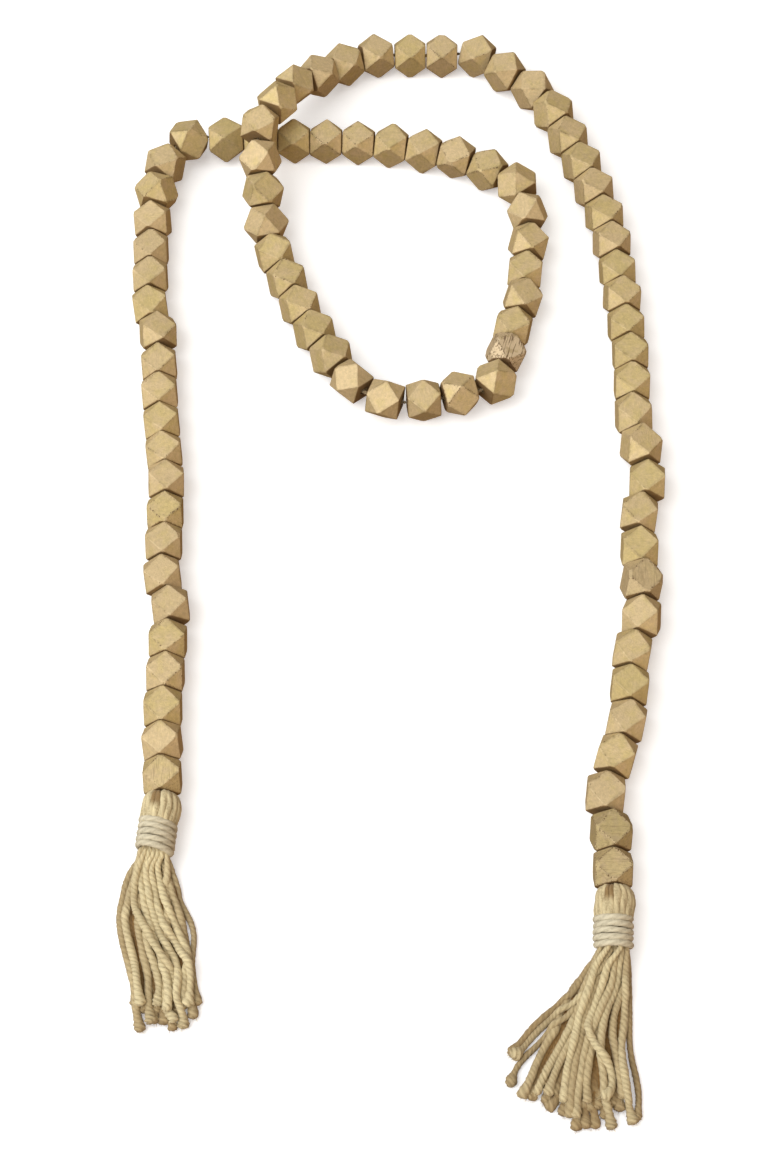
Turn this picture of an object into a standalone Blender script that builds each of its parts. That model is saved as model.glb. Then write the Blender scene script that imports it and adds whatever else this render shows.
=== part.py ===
"""A garland of faceted wood beads threaded on a cotton cord, with a tassel at each end.

It is laid out on a table, z = 0, with both tassels toward -Y. The strand runs from the left
tassel up the left side, round an inner loop, over itself at one crossing, and down the right
side. Sizes and places are in millimetres, and each finished mesh is turned into metres.
"""

import math

import bmesh
import bpy
import numpy as np
from mathutils import Vector

MM = 0.001
SEED = 11

# Middle of the whole garland on the table, taken off every place so that it lies centred
CENTRE = np.array((0.0, 0.75, 0.0))

# Beads: a cube whose eight corners are cut off to the middles of its edges, drilled along the cord
BEAD_COUNT = 87
BEAD_LENGTH = 13.8
BEAD_ACROSS = 14.4
BORE_RADIUS = 2.1
BEAD_GAP = 0.3
COLLAR_RADIUS = 3.3
COLLAR_BITE = 1.2
BORE_SIDES = 8

# Cord through the beads
CORD_RADIUS = 0.9

# The crossing, where the strand climbs over itself
CROSSING_BEAD = 52.4
CROSSING_RISE = 17.2
CROSSING_SPREAD = 2.7
LEAST_CLIMB = 0.4
HIGHEST_STEP = 2.0

# Settling the beads against each other along the route
SETTLE_STEPS = 240
PULL_STEPS = 190
PULL_TO_ROUTE = 0.1

# Tassel heads: distance from the tip of the dome along the tassel, radius there
DOME = (
    (0.0, 2.4),
    (0.8, 4.4),
    (2.4, 6.2),
    (5.0, 7.3),
    (8.5, 7.7),
    (11.4, 7.4),
    (12.0, 6.8),
)
HEAD_SIDES = 16
AXIS_HEIGHT = 7.4
NECK_RADIUS = 5.0
ROOT_LENGTH = 3.0
ROOT_RADIUS = 4.4
DOME_GAP = 0.5
PIECE_GAP = 0.3

# Binding: cord wound round the neck
BINDING_TURNS = 5
BINDING_LENGTH = 13.4
BINDING_RADIUS = 7.75
BINDING_VALLEY = 6.7

# Skirt strands, square in section, in layers that lie on each other
STRAND_DEPTH_IN_NECK = 2.0
STRAND_OUT_OF_NECK = 1.0
STRAND_WIDTH = 2.9
STRAND_GAP = 0.35
THINNEST_STRAND = 0.7
NECK_LAYER_STEP = 2.7
NECK_REACH = 4.3
LAYERS = (9, 8, 7)
SHORTEST_STRAND = 0.88
STRAND_STOPS = (0.08, 0.2, 0.32, 0.45, 0.6, 0.75, 0.88, 1.0)
FALL_END = 0.32

# Where the strand lies on the table: bead number, x, y
ROUTE = (
    (1, -88.0, -113.0),
    (3, -89.0, -84.5),
    (6, -88.5, -38.0),
    (7, -91.5, -24.5),
    (10, -92.5, 16.0),
    (13, -97.0, 60.5),
    (15, -99.0, 90.0),
    (16, -103.0, 104.5),
    (20, -102.5, 164.0),
    (22, -90.5, 189.0),
    (24, -57.0, 193.5),
    (29, 13.5, 188.0),
    (32, 54.5, 167.0),
    (34, 59.0, 133.5),
    (38, 49.0, 82.5),
    (39, 42.5, 67.0),
    (41, 13.5, 56.5),
    (43, -16.0, 65.5),
    (48, -50.5, 132.0),
    (51, -57.0, 173.5),
    (52, -56.0, 188.5),
    (54, -43.0, 214.0),
    (55, -34.0, 223.5),
    (56, -21.0, 234.5),
    (57, -6.5, 241.0),
    (60, 39.0, 240.5),
    (61, 52.0, 231.0),
    (62, 61.5, 224.0),
    (63, 72.5, 208.0),
    (67, 93.0, 151.5),
    (72, 101.0, 80.5),
    (74, 101.0, 50.0),
    (76, 105.0, 17.5),
    (77, 101.0, 2.5),
    (80, 99.5, -45.0),
    (81, 95.0, -60.0),
    (83, 91.5, -89.5),
    (85, 82.0, -120.0),
    (86, 83.5, -136.5),
    (87, 83.5, -150.5),
)

# How far a bead is rolled about the cord, in degrees; a bead that isn't named lies flat
ROLLS = {
    2: -5, 10: 6, 15: 10, 19: -7, 20: -32, 21: -28, 22: -32, 23: -12,
    30: 10, 32: -38, 33: 30, 34: -15, 36: -13, 38: -20, 39: 40, 40: 30, 41: -16, 42: -27,
    43: -25, 44: 20, 45: 12, 46: 9, 47: 8, 49: 42, 50: 22, 51: -24, 53: 40, 54: 30, 55: 25,
    56: 6, 60: 4, 61: 14, 63: -20, 64: -14, 65: -10, 66: -10, 67: -7, 68: -7, 70: -6,
    75: -14, 76: 4, 79: -12, 80: 10, 86: -6,
}

# Outline of each skirt on the table, from its neck to its tips:
# left edge x and y, middle x and y, right edge x and y
LEFT_FAN = (
    (-100.5, -153.5, -91.0, -155.0, -81.5, -155.0),
    (-103.0, -169.5, -89.0, -170.0, -75.5, -169.5),
    (-101.5, -182.0, -87.0, -183.0, -74.0, -181.0),
    (-96.5, -194.5, -84.5, -195.5, -72.0, -194.5),
    (-92.5, -212.0, -81.0, -212.0, -70.5, -203.0),
)
RIGHT_FAN = (
    (71.0, -192.0, 80.5, -194.5, 89.5, -194.5),
    (61.0, -202.5, 75.0, -208.5, 89.5, -207.5),
    (50.5, -214.5, 69.5, -222.5, 89.0, -219.5),
    (43.0, -222.5, 66.5, -235.5, 90.0, -233.0),
    (40.5, -234.0, 64.5, -248.0, 89.0, -247.0),
)
LEFT_LEAN = math.radians(-95)
RIGHT_LEAN = math.radians(-93)

GOLD_PAINT = ((0.57, 0.43, 0.23, 1), 0.5, 0.25)
COTTON_YARN = ((0.66, 0.56, 0.36, 1), 0.95, 0.0)
COTTON_TWINE = ((0.74, 0.66, 0.46, 1), 0.92, 0.0)
THREADING_CORD = ((0.52, 0.42, 0.26, 1), 0.9, 0.0)

UP = np.array((0.0, 0.0, 1.0))
SQUARE = ((-1, -1), (1, -1), (1, 1), (-1, 1))
SHARPEST_SMOOTH = math.radians(50)


def clear_scene():
    for obj in list(bpy.data.objects):
        bpy.data.objects.remove(obj)


def material(name, look):
    color, roughness, metallic = look
    made = bpy.data.materials.new(name)
    made.use_nodes = True
    shader = made.node_tree.nodes["Principled BSDF"]
    shader.inputs["Base Color"].default_value = color
    shader.inputs["Roughness"].default_value = roughness
    shader.inputs["Metallic"].default_value = metallic
    return made


def smooth_through(knots, rows, at):
    """The point at `at` on a smooth curve that passes through `rows` at `knots`."""
    knots = np.array(knots, float)
    rows = np.array(rows, float)
    last = len(knots) - 1
    k = int(np.clip(np.searchsorted(knots, at, side="right") - 1, 0, last - 1))

    def slope(i):
        before, after = max(i - 1, 0), min(i + 1, last)
        return (rows[after] - rows[before]) / (knots[after] - knots[before])

    span = knots[k + 1] - knots[k]
    t = (at - knots[k]) / span
    start = rows[k] * (1 + 2 * t) * (1 - t) ** 2 + slope(k) * span * t * (1 - t) ** 2
    end = rows[k + 1] * t * t * (3 - 2 * t) + slope(k + 1) * span * t * t * (t - 1)
    return start + end


def unit(vectors):
    return vectors / np.linalg.norm(vectors, axis=-1, keepdims=True)


def bead_corners():
    """The twelve corners of a bead, with the cord along its first axis."""
    half = np.array((BEAD_LENGTH, BEAD_ACROSS, BEAD_ACROSS)) / 2
    signs = (-1, 1)
    found = []
    for flat in range(3):
        for a in signs:
            for b in signs:
                corner = np.insert(np.array((a, b), float), flat, 0.0)
                found.append(corner * half)
    return np.array(found)


def climb(number):
    """How far the strand is lifted at a bead number to pass over itself."""
    return CROSSING_RISE * math.exp(-(((number - CROSSING_BEAD) / CROSSING_SPREAD) ** 2))


def bead_frames(places, climbs, rolls):
    """Each bead's three axes: along the cord, to its right, and up through its top face."""
    along = np.vstack([places[1:], places[-1:]]) - np.vstack([places[:1], places[:-1]])
    along[:, 2] *= climbs > LEAST_CLIMB
    along = unit(along)
    right = unit(np.cross(along, UP))
    top = np.cross(right, along)
    c, s = np.cos(rolls)[:, None], np.sin(rolls)[:, None]
    return np.stack([along, right * c - top * s, top * c + right * s], axis=1)


def lift_to_table(places, climbs, corners):
    """Rests every bead on the table or on its climb, with no high step from one to the next."""
    reach_down = -corners[:, :, 2].min(axis=1)
    height = np.maximum(reach_down, np.where(climbs > LEAST_CLIMB, BEAD_ACROSS / 2 + climbs, 0))
    for i in range(1, len(height)):
        height[i] = max(height[i], height[i - 1] - HIGHEST_STEP - abs(climbs[i] - climbs[i - 1]))
    for i in range(len(height) - 2, -1, -1):
        height[i] = max(height[i], height[i + 1] - HIGHEST_STEP - abs(climbs[i] - climbs[i + 1]))
    places[:, 2] = height


def push_apart(places, frames, corners):
    """Moves neighbours apart, in the table's plane, until BEAD_GAP is left between them."""
    ahead, behind = frames[:-1, 0], frames[1:, 0]
    blends = [ahead * (1 - t) + behind * t for t in (0, 0.25, 0.5, 0.75, 1)]
    ways = unit(np.stack(blends + [places[1:] - places[:-1]], axis=1))
    reach = np.einsum("ncx,nkx->nkc", corners[:-1], ways).max(axis=2)
    reach_back = np.einsum("ncx,nkx->nkc", -corners[1:], ways).max(axis=2)
    apart = np.einsum("nx,nkx->nk", places[1:] - places[:-1], ways)
    lack = reach + reach_back + BEAD_GAP - apart
    easiest = lack.argmin(axis=1)
    rows = np.arange(len(lack))
    move = np.clip(lack[rows, easiest], 0, None)[:, None] * ways[rows, easiest] / 2
    places[:-1, :2] -= move[:, :2]
    places[1:, :2] += move[:, :2]


def settled_beads():
    """Where the beads lie: their centres and their axes."""
    numbers = np.arange(1, BEAD_COUNT + 1)
    knots = [row[0] for row in ROUTE]
    table = [row[1:] for row in ROUTE]
    route = np.array([smooth_through(knots, table, n) for n in numbers])
    climbs = np.array([climb(n) for n in numbers])
    rolls = np.radians([ROLLS.get(int(n), 0) for n in numbers])
    places = np.column_stack([route, BEAD_ACROSS / 2 + climbs])
    shape = bead_corners()
    for step in range(SETTLE_STEPS):
        frames = bead_frames(places, climbs, rolls)
        corners = shape @ frames
        lift_to_table(places, climbs, corners)
        push_apart(places, frames, corners)
        pull = PULL_TO_ROUTE * max(0.0, 1 - step / PULL_STEPS)
        places[:, :2] += pull * (route - places[:, :2])
    frames = bead_frames(places, climbs, rolls)
    lift_to_table(places, climbs, shape @ frames)
    return places, frames


def cord_points(places, frames):
    """The cord's route: a point in each gap between beads, and one beyond each end bead."""
    half = BEAD_LENGTH / 2
    starts = places - frames[:, 0] * half
    ends = places + frames[:, 0] * half
    points = [starts[0] - frames[0, 0] * (DOME_GAP / 2)]
    points += list((ends[:-1] + starts[1:]) / 2)
    points.append(ends[-1] + frames[-1, 0] * (DOME_GAP / 2))
    return points


def on_table(point):
    """A place in millimetres as one in metres from the middle of the garland."""
    return Vector((np.asarray(point) - CENTRE) * MM)


def new_object(name, mesh, look=None):
    obj = bpy.data.objects.new(name, mesh)
    bpy.context.scene.collection.objects.link(obj)
    if look:
        mesh.materials.append(look)
    return obj


def smoothed(obj):
    """Rounds the shading of an object's gentle edges."""
    obj.data.shade_smooth()
    obj.data.set_sharp_from_angle(angle=SHARPEST_SMOOTH)


def mesh_of(name, points, faces):
    """A mesh in metres from points in millimetres, its faces turned outward."""
    mesh = bpy.data.meshes.new(name)
    mesh.from_pydata([on_table(point) for point in points], [], faces)
    form = bmesh.new()
    form.from_mesh(mesh)
    bmesh.ops.recalc_face_normals(form, faces=form.faces)
    form.to_mesh(mesh)
    form.free()
    return mesh


def rings_to_tube(rings):
    """Points and faces of a closed tube through rings of equal length, capped at both ends."""
    sides = len(rings[0])
    points = [point for ring in rings for point in ring]
    faces = [list(range(sides)), list(range(len(points) - sides, len(points)))]
    for r in range(len(rings) - 1):
        for k in range(sides):
            a, b = r * sides + k, r * sides + (k + 1) % sides
            faces.append([a, b, b + sides, a + sides])
    return points, faces


def joined(pieces):
    """Points and faces of several closed pieces as one list of each."""
    points, faces = [], []
    for piece_points, piece_faces in pieces:
        faces += [[index + len(points) for index in face] for face in piece_faces]
        points += list(piece_points)
    return points, faces


def ring_round(centre, along, radius, sides, floor=None):
    """A ring of points round a centre, square to `along`; none reaches below the floor."""
    right = unit(np.cross(along, UP))
    top = np.cross(right, along)
    ring = []
    for k in range(sides):
        angle = 2 * math.pi * (k + 0.5) / sides
        point = centre + (right * math.cos(angle) + top * math.sin(angle)) * radius
        if floor is not None:
            point[2] = max(point[2], floor)
        ring.append(point)
    return ring


def tube_along(points, radius, sides):
    """A round tube through points, mitred where it bends."""
    points = np.array(points)
    rings = []
    for i, point in enumerate(points):
        before, after = points[max(i - 1, 0)], points[min(i + 1, len(points) - 1)]
        rings.append(ring_round(point, unit(after - before), radius, sides))
    return rings_to_tube(rings)


def cut_or_join(obj, tool, operation):
    """Applies one exact Boolean to an object and removes its tool."""
    step = obj.modifiers.new(operation.title(), "BOOLEAN")
    step.operation = operation
    step.solver = "EXACT"
    step.object = tool
    bpy.context.view_layer.update()
    graph = bpy.context.evaluated_depsgraph_get()
    mesh = bpy.data.meshes.new_from_object(obj.evaluated_get(graph))
    obj.modifiers.clear()
    obj.data = mesh
    bpy.data.objects.remove(tool)


def bead_form(place, frame):
    """Points and faces of one bead before it is drilled."""
    form = bmesh.new()
    for corner in bead_corners() @ frame + place:
        form.verts.new(corner)
    bmesh.ops.convex_hull(form, input=form.verts)
    form.verts.index_update()
    points = [np.array(v.co) for v in form.verts]
    faces = [[v.index for v in face.verts] for face in form.faces]
    form.free()
    return points, faces


def beyond(point, neighbour, distance):
    """A point moved away from its neighbour along their line."""
    return point + unit(point - neighbour) * distance


def drilled_beads(first, places, frames, route, look):
    """One node of two beads, or of the last one, drilled where the cord runs.

    A short collar round the cord joins the two, so that they are one solid.
    """
    inside = range(first, min(first + 2, BEAD_COUNT))
    numbers = "_".join(f"{i + 1:02d}" for i in inside)
    name = f"beads_{numbers}"
    forms = joined([bead_form(places[i], frames[i]) for i in inside])
    obj = new_object(name, mesh_of(name, *forms), look)
    if len(inside) == 2:
        middle = route[first + 1]
        way = unit(places[first + 1] - places[first])
        span = np.linalg.norm(places[first + 1] - places[first]) - BEAD_LENGTH
        reach = way * (span / 2 + COLLAR_BITE)
        collar = tube_along([middle - reach, middle + reach], COLLAR_RADIUS, BORE_SIDES)
        cut_or_join(obj, new_object("collar", mesh_of("collar", *collar)), "UNION")
    drill = list(route[first:first + len(inside) + 1])
    drill[0] = beyond(drill[0], drill[1], COLLAR_BITE)
    drill[-1] = beyond(drill[-1], drill[-2], COLLAR_BITE)
    bore = tube_along(drill, BORE_RADIUS, BORE_SIDES)
    cut_or_join(obj, new_object("bore", mesh_of("bore", *bore)), "DIFFERENCE")
    return obj


def make_cord(route, look):
    curve = bpy.data.curves.new("cord", "CURVE")
    curve.dimensions = "3D"
    curve.bevel_depth = CORD_RADIUS * MM
    curve.bevel_resolution = 2
    curve.use_fill_caps = True
    spline = curve.splines.new("POLY")
    spline.points.add(len(route) - 1)
    for point, place in zip(spline.points, route):
        point.co = (*on_table(place), 1)
    curve.materials.append(look)
    obj = bpy.data.objects.new("cord", curve)
    bpy.context.scene.collection.objects.link(obj)


def tassel_line(bead_end, lean):
    """The tassel's axis: where its dome starts and which way it points."""
    along = np.array((math.cos(lean), math.sin(lean), 0.0))
    start = bead_end + along * DOME_GAP
    start[2] = AXIS_HEIGHT
    return start, along


def turned(start, along, section):
    """Rings round the tassel's axis, flattened where they would reach below the table."""
    rings = []
    for distance, radius in section:
        rings.append(ring_round(start + along * distance, along, radius, HEAD_SIDES, floor=0.0))
    return rings


def neck_length():
    """How far from the tip of the dome the neck ends, just beyond the binding."""
    return DOME[-1][0] + BINDING_LENGTH + 2 * PIECE_GAP


def head_form(start, along):
    """Dome, neck and root as one turned form with a flattened underside."""
    neck = [(DOME[-1][0], NECK_RADIUS), (neck_length(), NECK_RADIUS)]
    root = [(neck_length() + ROOT_LENGTH, ROOT_RADIUS)]
    return rings_to_tube(turned(start, along, list(DOME) + neck + root))


def binding_form(start, along):
    """Cord wound round the neck: a sleeve with a ridge for each turn."""
    first = DOME[-1][0] + PIECE_GAP
    turn = BINDING_LENGTH / BINDING_TURNS
    section = [(first, NECK_RADIUS + PIECE_GAP)]
    for k in range(2 * BINDING_TURNS + 1):
        section.append((first + k * turn / 2, BINDING_RADIUS if k % 2 else BINDING_VALLEY))
    section.append((first + BINDING_LENGTH, NECK_RADIUS + PIECE_GAP))
    points, faces = rings_to_tube(turned(start, along, section))
    last = len(points) - HEAD_SIDES
    bore = []
    for k in range(HEAD_SIDES):
        beside = (k + 1) % HEAD_SIDES
        bore.append([k, beside, last + beside, last + k])
    return points, faces[2:] + bore


def fan_place(fan, across, down):
    """A place in the skirt: across it, 0 to 1 from left to right, and down it, 0 to 1."""
    row = smooth_through(range(len(fan)), fan, down * (len(fan) - 1))
    left, middle, right = row[0:2], row[2:4], row[4:6]
    return (
        left * (1 - across) * (1 - 2 * across)
        + middle * 4 * across * (1 - across)
        + right * across * (2 * across - 1)
    )


def strand_form(fan, neck, along, layer, across, length, crowd):
    """One strand from inside the neck out to its tip, square in section and level at its foot."""
    right = np.cross(along, UP)
    lift = (layer - (len(LAYERS) - 1) / 2) * NECK_LAYER_STEP
    sideways = (0.5 - across) * 2 * math.sqrt(NECK_REACH**2 - lift**2)
    offset = right * sideways + UP * lift
    rest = STRAND_WIDTH / 2 + layer * (STRAND_WIDTH + STRAND_GAP)
    centres = [
        neck - along * STRAND_DEPTH_IN_NECK + offset,
        neck + along * STRAND_OUT_OF_NECK + offset,
    ]
    widths = [THINNEST_STRAND, THINNEST_STRAND]
    inset = STRAND_WIDTH / 2
    for stop in STRAND_STOPS:
        down = stop * length
        ends = [fan_place(fan, side, down) for side in (0, 1)]
        breadth = np.linalg.norm(ends[1] - ends[0])
        spread = inset / breadth + across * (1 - 2 * inset / breadth)
        pitch = (breadth - 2 * inset) / (crowd - 1)
        fall = min(down / FALL_END, 1)
        fall = fall * fall * (3 - 2 * fall)
        place = fan_place(fan, spread, down)
        height = (neck[2] + offset[2]) * (1 - fall) + rest * fall
        centres.append(np.array((place[0], place[1], height)))
        widths.append(min(STRAND_WIDTH, max(pitch - STRAND_GAP, THINNEST_STRAND)))
    rings = []
    for i, centre in enumerate(centres):
        before, after = centres[max(i - 1, 0)], centres[min(i + 1, len(centres) - 1)]
        way = after - before
        way[2] = 0
        side = unit(np.cross(way, UP))
        half = widths[i] / 2
        rings.append([centre + side * a * half + UP * b * half for a, b in SQUARE])
    return rings_to_tube(rings)


def make_tassel(side, bead_end, lean, fan, yarn, twine):
    start, along = tassel_line(bead_end, lean)
    name = f"tassel_{side}"
    head = new_object(name, mesh_of(name, *head_form(start, along)), yarn)
    neck = start + along * neck_length()
    chance = np.random.default_rng(SEED + len(side))
    for layer, crowd in enumerate(LAYERS):
        for k in range(crowd):
            length = chance.uniform(SHORTEST_STRAND, 1)
            strand = strand_form(fan, neck, along, layer, k / (crowd - 1), length, crowd)
            cut_or_join(head, new_object("strand", mesh_of("strand", *strand)), "UNION")
    smoothed(head)
    binding_name = f"binding_{side}"
    binding = mesh_of(binding_name, *binding_form(start, along))
    smoothed(new_object(binding_name, binding, twine))


def main():
    clear_scene()
    places, frames = settled_beads()
    route = cord_points(places, frames)
    gold = material("gold_paint", GOLD_PAINT)
    for first in range(0, BEAD_COUNT, 2):
        drilled_beads(first, places, frames, route, gold)
    make_cord(route, material("threading_cord", THREADING_CORD))
    yarn = material("cotton_yarn", COTTON_YARN)
    twine = material("cotton_twine", COTTON_TWINE)
    half = BEAD_LENGTH / 2
    left_end = places[0] - frames[0, 0] * half
    right_end = places[-1] + frames[-1, 0] * half
    make_tassel("left", left_end, LEFT_LEAN, LEFT_FAN, yarn, twine)
    make_tassel("right", right_end, RIGHT_LEAN, RIGHT_FAN, yarn, twine)


main()
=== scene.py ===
"""The looks of a faceted wood bead garland with a cotton tassel at each end.

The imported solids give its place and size. Every bead, the cord, both tassels and both bindings
are made again here in finer form, on the same layout, with painted wood and cotton finishes.
Lengths are in millimetres until a mesh is made.
"""

import math
from itertools import combinations, product

import bmesh
import bpy
import numpy as np
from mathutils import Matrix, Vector


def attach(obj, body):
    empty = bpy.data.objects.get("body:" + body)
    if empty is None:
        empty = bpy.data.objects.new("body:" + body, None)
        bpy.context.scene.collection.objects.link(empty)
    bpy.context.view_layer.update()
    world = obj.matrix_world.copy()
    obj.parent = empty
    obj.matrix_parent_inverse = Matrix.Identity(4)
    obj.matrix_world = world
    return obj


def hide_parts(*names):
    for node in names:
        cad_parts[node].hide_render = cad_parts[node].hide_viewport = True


MM = 0.001
SEED = 7
UP = np.array((0.0, 0.0, 1.0))
CENTRE = np.array((0.0, 0.75, 0.0))
SIGNS = (-1, 1)
QUARTERS = (0, 0.25, 0.5, 0.75, 1)
TINY = 1e-6

# Beads: a cube whose eight corners are cut off, drilled along the cord
BEAD_COUNT = 87
BEAD_LENGTH = 13.8
BEAD_ACROSS = 14.4
BEAD_GAP = 0.3
BORE_RADIUS = 2.1
BORE_SIDES = 16
BORE_OVERRUN = 1.2

# The beads press against each other: each half is as long as its neighbour lets it be
SEAM_GAP = 0.12
MOST_GROWTH = 1.4
GROWTH_STEPS = 10
GROWTH_SHARE = 0.45

# How unevenly the corners are sawn off and worn, and how round the edges are
SQUARE_SLACK = 0.12
SAW_SLACK = 0.22
SAW_TILT = 0.03
TIP_TILT = 0.1
TIP_WEAR = (0.2, 0.6)
CHIP_CHANCE = 0.5
CHIP_DEPTH = 0.7
SHORTEST_EDGE = 0.45
EDGE_ROUND = 0.42
EDGE_STEPS = 3
SAME_POINT = 0.01
LEAST_CORNER = 1e-3
ONE_FACET = math.radians(9)
SOFT_CORNER = 0.35

# The crossing, where the strand climbs over itself
CROSSING_BEAD = 52.4
CROSSING_RISE = 17.2
CROSSING_SPREAD = 2.7
LEAST_CLIMB = 0.4
HIGHEST_STEP = 2.0

# Settling the beads against each other along the route
SETTLE_STEPS = 240
PULL_STEPS = 190
PULL_TO_ROUTE = 0.1

# Where the strand lies on the table: bead number, x, y
ROUTE = (
    (1, -88.0, -113.0), (3, -89.0, -84.5), (6, -88.5, -38.0), (7, -91.5, -24.5), (10, -92.5, 16.0),
    (13, -97.0, 60.5), (15, -99.0, 90.0), (16, -103.0, 104.5), (20, -102.5, 164.0),
    (22, -90.5, 189.0), (24, -57.0, 193.5), (29, 13.5, 188.0), (32, 54.5, 167.0),
    (34, 59.0, 133.5), (38, 49.0, 82.5), (39, 42.5, 67.0), (41, 13.5, 56.5), (43, -16.0, 65.5),
    (48, -50.5, 132.0), (51, -57.0, 173.5), (52, -56.0, 188.5), (54, -43.0, 214.0),
    (55, -34.0, 223.5), (56, -21.0, 234.5), (57, -6.5, 241.0), (60, 39.0, 240.5),
    (61, 52.0, 231.0), (62, 61.5, 224.0), (63, 72.5, 208.0), (67, 93.0, 151.5), (72, 101.0, 80.5),
    (74, 101.0, 50.0), (76, 105.0, 17.5), (77, 101.0, 2.5), (80, 99.5, -45.0), (81, 95.0, -60.0),
    (83, 91.5, -89.5), (85, 82.0, -120.0), (86, 83.5, -136.5), (87, 83.5, -150.5),
)

# How far a bead is rolled about the cord, in degrees; a bead that isn't named lies flat
ROLLS = {
    2: -5, 10: 6, 15: 10, 19: -7, 20: -32, 21: -28, 22: -32, 23: -12,
    30: 10, 32: -38, 33: 30, 34: -15, 36: -13, 38: -20, 39: 40, 40: 30, 41: -16, 42: -27,
    43: -25, 44: 20, 45: 12, 46: 9, 47: 8, 49: 42, 50: 22, 51: -24, 53: 40, 54: 30, 55: 25,
    56: 6, 60: 4, 61: 14, 63: -20, 64: -14, 65: -10, 66: -10, 67: -7, 68: -7, 70: -6,
    75: -14, 76: 4, 79: -12, 80: 10, 86: -6,
}

# Beads turned further than the plain solids, in degrees
TURNED = {21: 22, 33: -6, 55: -24, 56: -4, 61: -12}

# Paint of single beads: brightness, wear of the corners (the rest are drawn by chance)
BEAD_LOOKS = {
    1: (0.97, 0.5), 4: (1.0, 0.5), 5: (0.98, 0.6), 9: (0.99, 0.8), 20: (1.02, 0.6),
    26: (1.0, 0.6), 27: (1.0, 0.7), 30: (1.0, 0.6), 31: (1.0, 0.6), 38: (0.88, 1.0),
    40: (1.04, 0.6), 58: (1.0, 0.5), 59: (0.99, 0.6), 75: (1.05, 0.4), 79: (0.93, 0.4),
    86: (0.8, 0.9), 87: (0.86, 0.9),
}
TONE_RANGE = (0.95, 1.04)
WEAR_RANGE = (0.0, 0.32)
GRAIN_SHIFT = 400

# Beads whose paint is rubbed off down to scratched wood, and how far
BARE = {1: 0.35, 9: 0.2, 38: 1.0, 58: 0.2, 79: 0.3, 86: 0.32, 87: 0.36}

# Colours of the paint and the wood, and of the painted shade on the end faces
GOLD_YELLOW = (0.56, 0.44, 0.195, 1)
GOLD_PINK = (0.585, 0.45, 0.25, 1)
RUBBED_EDGE = (0.62, 0.49, 0.29, 1)
WORN_WOOD = (0.13, 0.07, 0.028, 1)
# Painted shade on the end faces, where each bead presses against the next
PAINTED_END_SHADE = (0.2, 0.105, 0.035, 1)
BARE_WOOD = (0.68, 0.54, 0.355, 1)

# Patterns in the paint: scale for each millimetre, detail, roughness
GRAIN = (1.7, 5.0, 0.6)
MOTTLE = (0.75, 5.0, 0.7)
SPECKS = (1.9, 2.0, 0.5)
PATCHES = (0.2, 3.0, 0.6)
SCRATCHES = (1.0, 3.0, 0.6)
PORES = (2.6, 1.0, 0.4)
GRAIN_STRETCH = (0.2, 1.0, 1.0)
SCRATCH_STRETCH = (0.13, 1.5, 1.5)

# How strongly each mark shows; 'bore' is painted shade on the end faces where beads meet
SHOWS = {
    "grain": 0.42, "mottle": 0.68, "rubbed": 0.4, "dirt": 0.36, "bare": 0.8, "scratch": 0.8,
    "bore": 0.7, "pore": 0.45,
}

# Between which values each mark sets in; 'bore' marks the end faces that get painted shade
SETS_IN = {
    "yellow": (0.45, 0.9), "rubbed": (0.35, 0.65), "dirt": (0.42, 0.62), "bare": (0.66, 0.78),
    "scratch": (0.54, 0.61), "chip": (0.8, 0.88), "bore": (0.955, 0.985), "pore": (0.7, 0.78),
}

# Cottons: pale colour, colour of the painted shade, strength of the painted shade in the grooves,
# fineness of the fibres
COTTONS = {
    "cotton_yarn": ((0.63, 0.535, 0.32, 1), (0.215, 0.12, 0.038, 1), 0.2, 3.0),
    "cotton_twine": ((0.62, 0.57, 0.43, 1), (0.47, 0.39, 0.245, 1), 0.2, 3.4),
    "threading_cord": ((0.52, 0.42, 0.26, 1), (0.3, 0.2, 0.1, 1), 0.3, 4.0),
}

# Tassel heads: how far each ring of the dome lies from its top, and its radius
DOME = (
    (0.15, 0.9), (0.3, 2.2), (0.6, 3.6), (1.3, 4.8), (2.8, 5.7), (5.5, 6.15), (8.5, 6.1),
    (12.2, 5.6), (14.5, 4.7),
)
DOME_RISE = 1.1
DOME_SWAY, SWAY_AT = -0.6, 5
DOME_SPREAD = 4
DOME_GAP = 0.5
AXIS_HEIGHT = 7.4
LEANS = {"left": math.radians(-95), "right": math.radians(-93)}
CORE_SIDES = 20
CORE_SHARE = 0.97
HEAD_YARNS = 18
HEAD_YARN_RADIUS, HEAD_YARN_SWELL, HEAD_SWELL_LENGTH = 0.62, 0.98, 6
HEAD_JITTER = 0.04
HEAD_PITCH = 26.0
HEAD_TIP = 0.05
HEAD_PLY_SHARE = 0.84
HEAD_LUMPS = 0.06
HEAD_SHADES = (0.85, 1.0)
HEAD_GAPS = {"left": math.radians(18), "right": math.radians(25)}
HEAD_TONES = {"left": 1.0, "right": 0.86}
# The parting in the head: where it opens, closes and ends, how much thinner its yarns get, and how
# much painted shade darkens them
GAP_OPENS, GAP_CLOSES, GAP_END = 3, 4, 11
GAP_THIN = 0.3
GAP_SHADE = 0.85

# Yarn of the tassels: three plies twisted together, whose twist and grooves wander a little
PLIES = 3
YARN_RADIUS = 1.5
YARN_PITCH = 6.4
PITCH_SPREAD = (0.9, 1.15)
YARN_SIDES = 18
YARN_STEP = 0.62
YARN_WAVE, YARN_WAVE_TURNS = 0.06, (0.2, 0.4)
YARN_LUMPS = 0.09
PLY_SHARE = 0.92
TWIST_WANDER, TWIST_WAVE = 1.5, 6.5
GROOVE_WANDER, GROOVE_WAVE = 0.035, 9.0
ANY_PHASE = (0, 6.28)
PATTERN_SHIFT = 97.0
TABLE_GAP = 0.02

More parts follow.
